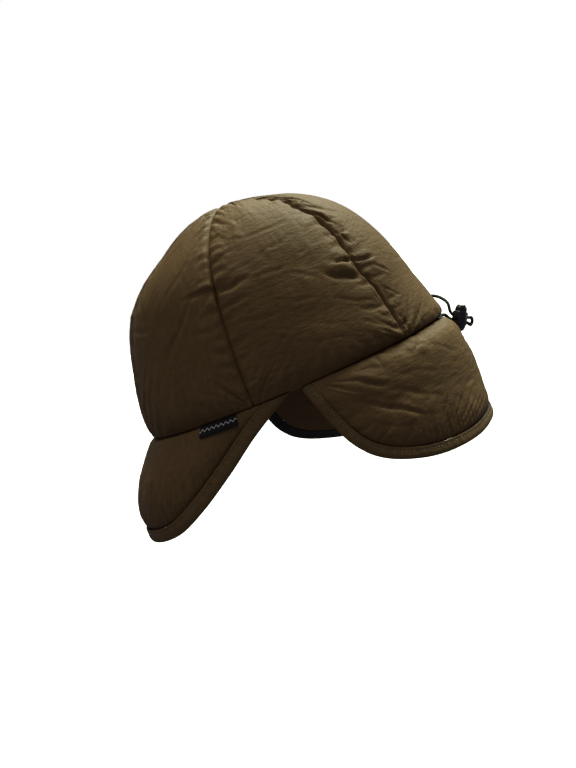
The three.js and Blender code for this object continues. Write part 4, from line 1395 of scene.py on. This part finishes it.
def hang_cloth(sheet):
    """A cloth object over the outer sheet, sewn along its border and slack inside."""
    coarse = sheet["outer"][::2, ::2]
    rows, columns = coarse.shape[:2]
    cloth = grid_object(sheet["name"] + "_settling", coarse)
    index = numbered(rows, columns)
    border = np.concatenate([index[0], index[-1], index[1:-1, 0], index[1:-1, -1]])
    sewn = cloth.vertex_groups.new(name="sewn")
    sewn.add(border.tolist(), 1.0, "REPLACE")
    slack = cloth.vertex_groups.new(name="slack")
    levels = np.round(sheet["slack"][::2, ::2].ravel() * 10).astype(int)
    for level in range(1, 11):
        slack.add(np.nonzero(levels == level)[0].tolist(), level / 10, "REPLACE")
    modifier = cloth.modifiers.new("settling", "CLOTH")
    modifier.point_cache.frame_end = CLOTH_FRAMES
    modifier.collision_settings.use_collision = False
    settings = modifier.settings
    settings.quality = 5
    settings.mass = VERTEX_MASS
    settings.tension_stiffness = STRETCH_STIFFNESS
    settings.compression_stiffness = CRUSH_STIFFNESS
    settings.shear_stiffness = STRETCH_STIFFNESS / 3
    settings.bending_stiffness = FOLD_STIFFNESS
    settings.air_damping = 1
    settings.vertex_group_mass = "sewn"
    settings.vertex_group_shrink = "slack"
    settings.shrink_min = 0
    settings.shrink_max = -CLOTH_GROWTH
    settings.use_pressure = True
    settings.uniform_pressure_force = PADDING_PRESSURE
    settings.effector_weights.gravity = 0
    return cloth


# %% Folds without the swelling
def smoothed(values, rounds):
    """Values over a grid, averaged with their neighbours again and again; the border stays."""
    values = values.copy()
    for _ in range(rounds):
        inner = values[1:-1, 1:-1]
        around_it = values[:-2, 1:-1] + values[2:, 1:-1] + values[1:-1, :-2] + values[1:-1, 2:]
        values[1:-1, 1:-1] = 0.2 * inner + 0.2 * around_it
    return values


def doubled(values, axis):
    """The same values with cubic midpoints between them along one axis."""
    values = np.moveaxis(values, axis, 0)
    first = 2 * values[:1] - values[1:2]
    last = 2 * values[-1:] - values[-2:-1]
    longer = np.concatenate([first, values, last])
    made = np.empty((2 * len(values) - 1, *values.shape[1:]))
    made[::2] = values
    made[1::2] = (9 * (longer[1:-2] + longer[2:-1]) - longer[:-3] - longer[3:]) / 16
    return np.moveaxis(made, 0, axis)


def take_folds(sheet, cloth, depsgraph):
    """Moves a sheet by the folds of its settled cloth, without the smooth swelling."""
    settled = cloth.evaluated_get(depsgraph).data
    points = np.empty(len(settled.vertices) * 3)
    settled.vertices.foreach_get("co", points)
    coarse = sheet["outer"][::2, ::2]
    outwards = sheet["normal"][::2, ::2]
    move = points.reshape(coarse.shape) - coarse
    swelling = smoothed((move * outwards).sum(-1), SMOOTHING_ROUNDS)
    move -= outwards * ((1 - SWELLING_KEPT) * swelling)[..., None]
    far = length_of(move)
    print(sheet["name"], "swelling mm", round(float(swelling.max()) / MM, 2),
          "largest fold mm", round(float(far.max()) / MM, 2))
    move *= np.minimum(1, LARGEST_MOVE / np.maximum(far, 1e-9))[..., None]
    sheet["outer"] = sheet["outer"] + doubled(doubled(move, 0), 1)


# %% Settling
soft_sheets = crown + flaps
cloths = [hang_cloth(sheet) for sheet in soft_sheets]
scene = bpy.context.scene
for moment in range(1, CLOTH_FRAMES + 1):
    scene.frame_set(moment)
depsgraph = bpy.context.evaluated_depsgraph_get()
for sheet, cloth in zip(soft_sheets, cloths):
    take_folds(sheet, cloth, depsgraph)
    bpy.data.objects.remove(cloth)
scene.frame_set(1)

# %% [markdown]
# Each settled sheet is stitched to its inner one and becomes a piece. It takes the place of its
# plain solid and rides with the hat.

# %% Padded pieces
NODES_OF_SHEETS = [f"crown_panel_{n}" for n in range(1, 7)] + ["visor", "neck_flap"]
FILLS = [0.55] * 6 + [0.45, 0.5]
for sheet, node_name, fill in zip(soft_sheets, NODES_OF_SHEETS, FILLS):
    pad = closed_skin(sheet["name"], sheet["outer"], sheet["inner"], sheet["flat"])
    finish_soft(pad, node_name, shell_nylon, subdivisions=0)

# %% [markdown]
# ## Binding
#
# A strip of the same nylon is folded over each free edge and sewn through. Its section is a flat
# loop, full near the seam and round where it turns over the edge. The stitches press a shallow
# line into it, and between them the tape puckers.

# %% Section of the binding
BINDING_THICKNESS = 3.6 * MM
BINDING_SPACING = 1.2 * MM
STITCH_PLACE = 0.33
STITCH_PRESS = 0.45 * MM
STITCH_PITCH = 2.5 * MM
BINDING_RIPPLE = 0.32 * MM
RIPPLE_SPACING = 5.5 * MM
BINDING_SECTION = [0, 0.08, 0.2, 0.34, 0.5, 0.66, 0.8, 0.9, 0.97]


def binding_half_thickness(across):
    """Thinner where it is sewn to the pad, and round at its free edge."""
    return BINDING_THICKNESS / 2 * (1 - 0.14 * np.exp(-across / 0.08)) * (1 - across ** 5) ** 0.5


# %% Binding tape
def binding_tape(name, flap, seed):
    edge, seam, _, where = free_edge(flap, BINDING_SPACING)

    def place(across):
        """Middle of the tape and its normal, at a share of its width from the seam."""
        spot = between(seam, edge, across)
        points, normal = face_and_normal(flap, spot[:, 0], np.maximum(spot[:, 1], FLAP_GAP))
        return points - normal * BINDING_THICKNESS / 2, normal

    ripple = wavy(where, RIPPLE_SPACING, seed)
    fine_ripple = wavy(where, STITCH_PITCH, seed + 1)
    top_rows = []
    under_rows = []
    for across in BINDING_SECTION:
        middle, normal = place(across)
        half = binding_half_thickness(across)
        wide_swing = ripple * math.sin(math.pi * min(1, across * 1.2))
        swing = BINDING_RIPPLE * (wide_swing + 0.45 * fine_ripple * (1 - across))
        press = STITCH_PRESS * math.exp(-((across - STITCH_PLACE) / 0.07) ** 2)
        top_rows.append(middle + normal * (half - press + swing)[:, None])
        under_rows.append(middle - normal * (half - press - swing)[:, None])
    tip = place(1.0)[0]
    section = [*top_rows, tip, *under_rows[::-1]]
    grid = np.stack(section, 1)
    grid[..., 2] = np.minimum(grid[..., 2], -FLAP_GAP)
    made = grid_object(name, grid, wrap_columns=True, caps=True)
    across_mm = np.linspace(0, 2 * flap["binding"] / MM, grid.shape[1])
    flat = np.stack(np.meshgrid(where / MM, across_mm, indexing="ij"), -1)
    cloth_coordinates(made, flat.reshape(-1, 2))
    smooth_faces(made)
    at_seam = np.zeros(grid.shape[:2], bool)
    at_seam[:, [0, -1]] = True
    keep_sharp(made, at_seam.ravel())
    return made


visor_tape = binding_tape("visor_tape", VISOR, 81)
finish_soft(visor_tape, "visor_binding", binding_nylon)
neck_tape = binding_tape("neck_tape", NECK, 91)
finish_soft(neck_tape, "neck_flap_binding", binding_nylon)

# %% [markdown]
# The inner half of each binding takes a dark neutral finish, which shows as a dark band where the
# far flap is seen from within. The dark half lies in the same fold as the nylon, so no second form
# is made: the faces on the inner side take its material.

# %% Dark inner side of the binding
# A dark neutral finish, given to the faces on the inner side of the binding.
dark_inner_binding = cloth_material("dark_inner_binding_finish", "#2a2723", "#383430", 0.7, 0.15 * MM, 0.03 * MM)
faces_round_the_tape = 2 * len(BINDING_SECTION) + 1
for tape in (visor_tape, neck_tape):
    tape.data.materials.append(dark_inner_binding)
    place = np.arange(len(tape.data.polygons)) % faces_round_the_tape
    inside = (place > len(BINDING_SECTION)).astype(np.int32)
    tape.data.polygons.foreach_set("material_index", inside)
    print(tape.name, int(inside.sum()), "faces on the inner side")

# %% [markdown]
# ## Stitches
#
# The lockstitch along the binding shows as a row of short raised beads with small gaps between
# them. Each bead is a little closed tube with thin ends, sunk into the line that it presses into
# the tape, and all beads of a row are one mesh.

# %% Stitches
STITCH_LENGTH = 1.6 * MM
STITCH_RADIUS = 0.32 * MM
STITCH_PROUD = 0.05 * MM
FIRST_STITCH_DROP = 3 * MM
BEAD_RINGS = 6
BEAD_SIDES = 8
BEAD_TIP = 0.12


def stitch_row(name, flap):
    """A row of short thread beads along the binding, joined in one mesh."""
    edge, seam, _, _ = free_edge(flap, STITCH_PITCH)
    spot = between(seam, edge, STITCH_PLACE)
    spot = spot[spot[:, 1] > FIRST_STITCH_DROP]
    middle, normal = face_and_normal(flap, spot[:, 0], spot[:, 1])
    forward = np.gradient(middle, axis=0)
    forward /= length_of(forward)[:, None]
    sideways = np.cross(forward, normal)
    points = []
    faces = []
    polar = np.linspace(BEAD_TIP, math.pi - BEAD_TIP, BEAD_RINGS)
    turn = np.linspace(0, 2 * math.pi, BEAD_SIDES, endpoint=False)
    for centre, n, f, s in zip(middle, normal, forward, sideways):
        start = len(points)
        centre = centre - n * (STITCH_PRESS - STITCH_PROUD)
        for p in polar:
            wide = STITCH_RADIUS * math.sin(p) ** 0.6
            arch = 0.25 * STITCH_RADIUS * math.sin(p)
            ring_centre = centre - f * math.cos(p) * STITCH_LENGTH / 2
            for t in turn:
                points.append(ring_centre + s * math.cos(t) * wide + n * (math.sin(t) * wide + arch))
        for ring in range(BEAD_RINGS - 1):
            for k in range(BEAD_SIDES):
                a = start + ring * BEAD_SIDES + k
                b = start + ring * BEAD_SIDES + (k + 1) % BEAD_SIDES
                faces.append((a, b, b + BEAD_SIDES, a + BEAD_SIDES))
        faces.append([start + k for k in range(BEAD_SIDES)][::-1])
        faces.append([start + (BEAD_RINGS - 1) * BEAD_SIDES + k for k in range(BEAD_SIDES)])
    made = mesh_object(name, points, faces)
    smooth_faces(made)
    made.data.materials.append(thread_polyester)
    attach(made, "hat")
    print(name, len(spot), "stitches")


stitch_row("visor_stitches", VISOR)
stitch_row("neck_stitches", NECK)

# %% [markdown]
# ## Label
#
# A small black damask ribbon is caught in the rim seam above the visor. It hangs free, so its
# lower edge lifts a little. Damask is woven from fine matt and shiny yarns, and a lighter yarn
# draws a plain zigzag line along it. The ground is black with a faint rib, drawn 0.5 mm wide,
# because the real one of about 0.1 mm would be too fine to show.

# %% Label material
LABEL_RIB = 0.5 * MM
ZIGZAG_RISE_MM = 1.6
ZIGZAG_HEIGHT_MM = 2.9
damask, tree = empty_material("woven_damask_label")
cloth = add_node(tree, "ShaderNodeUVMap", uv_map="cloth").outputs["UV"]
split = add_node(tree, "ShaderNodeSeparateXYZ", {"Vector": cloth})
ribs = add_node(tree, "ShaderNodeMath", {
    0: split.outputs["X"], 1: 2 * math.pi / (LABEL_RIB / MM),
}, operation="MULTIPLY")
rib_wave = add_node(tree, "ShaderNodeMath", {0: ribs.outputs[0]}, operation="SINE")
zig = add_node(tree, "ShaderNodeMath", {
    0: split.outputs["X"], 1: ZIGZAG_RISE_MM,
}, operation="PINGPONG")
lift = add_node(tree, "ShaderNodeMath", {0: split.outputs["Y"], 1: zig.outputs[0]}, operation="SUBTRACT")
away = add_node(tree, "ShaderNodeMath", {
    0: lift.outputs[0], 1: ZIGZAG_HEIGHT_MM,
}, operation="SUBTRACT")
off_line = add_node(tree, "ShaderNodeMath", {0: away.outputs[0]}, operation="ABSOLUTE")
on_line = add_node(tree, "ShaderNodeMapRange", {
    "Value": off_line.outputs[0], "From Min": 0.2, "From Max": 0.42, "To Min": 1.0, "To Max": 0.0,
})
tone = add_node(tree, "ShaderNodeMix", {
    "Factor": on_line.outputs["Result"], COLOUR_A: linear("#0a0909"), COLOUR_B: linear("#a8a7a2"),
}, data_type="RGBA")
raised = add_node(tree, "ShaderNodeBump", {"Height": rib_wave.outputs[0], "Distance": 0.06 * MM})
shader = add_node(tree, "ShaderNodeBsdfPrincipled", {
    "Base Color": tone.outputs[MIXED_COLOUR], "Roughness": 0.7, "IOR": 1.57, "Specular IOR Level": 0.15,
    "Normal": raised.outputs["Normal"],
})
add_node(tree, "ShaderNodeOutputMaterial", {"Surface": shader.outputs["BSDF"]})

# %% Label ribbon
LABEL_FROM_AZIMUTH = 35
LABEL_TO_AZIMUTH = 50.5
LABEL_DROP = 6.6 * MM
LABEL_LIFT = 2 * MM
LABEL_THICKNESS = 0.9 * MM
LABEL_CURL = 0.25 * MM
LABEL_CURL_LENGTH = 9 * MM

label_arc = np.linspace(LABEL_FROM_AZIMUTH, LABEL_TO_AZIMUTH, 41) * M_PER_DEGREE
label_drop = np.linspace(LABEL_DROP, 2 * FLAP_GAP, 13)
drop, arc = np.meshgrid(label_drop, label_arc, indexing="ij")
visor_points, label_normal = face_and_normal(VISOR, arc, drop)
curl = LABEL_CURL * np.cos(arc / LABEL_CURL_LENGTH) * drop / LABEL_DROP
lift = between(2 * FLAP_GAP, LABEL_LIFT, drop / LABEL_DROP) + curl
label_under = visor_points + label_normal * lift[..., None]
label_top = label_under + label_normal * LABEL_THICKNESS
flat = np.stack([arc, LABEL_DROP - drop], -1) / MM
label = closed_skin("label_ribbon", label_top, label_under, flat)
finish_soft(label, "label", damask, subdivisions=0)
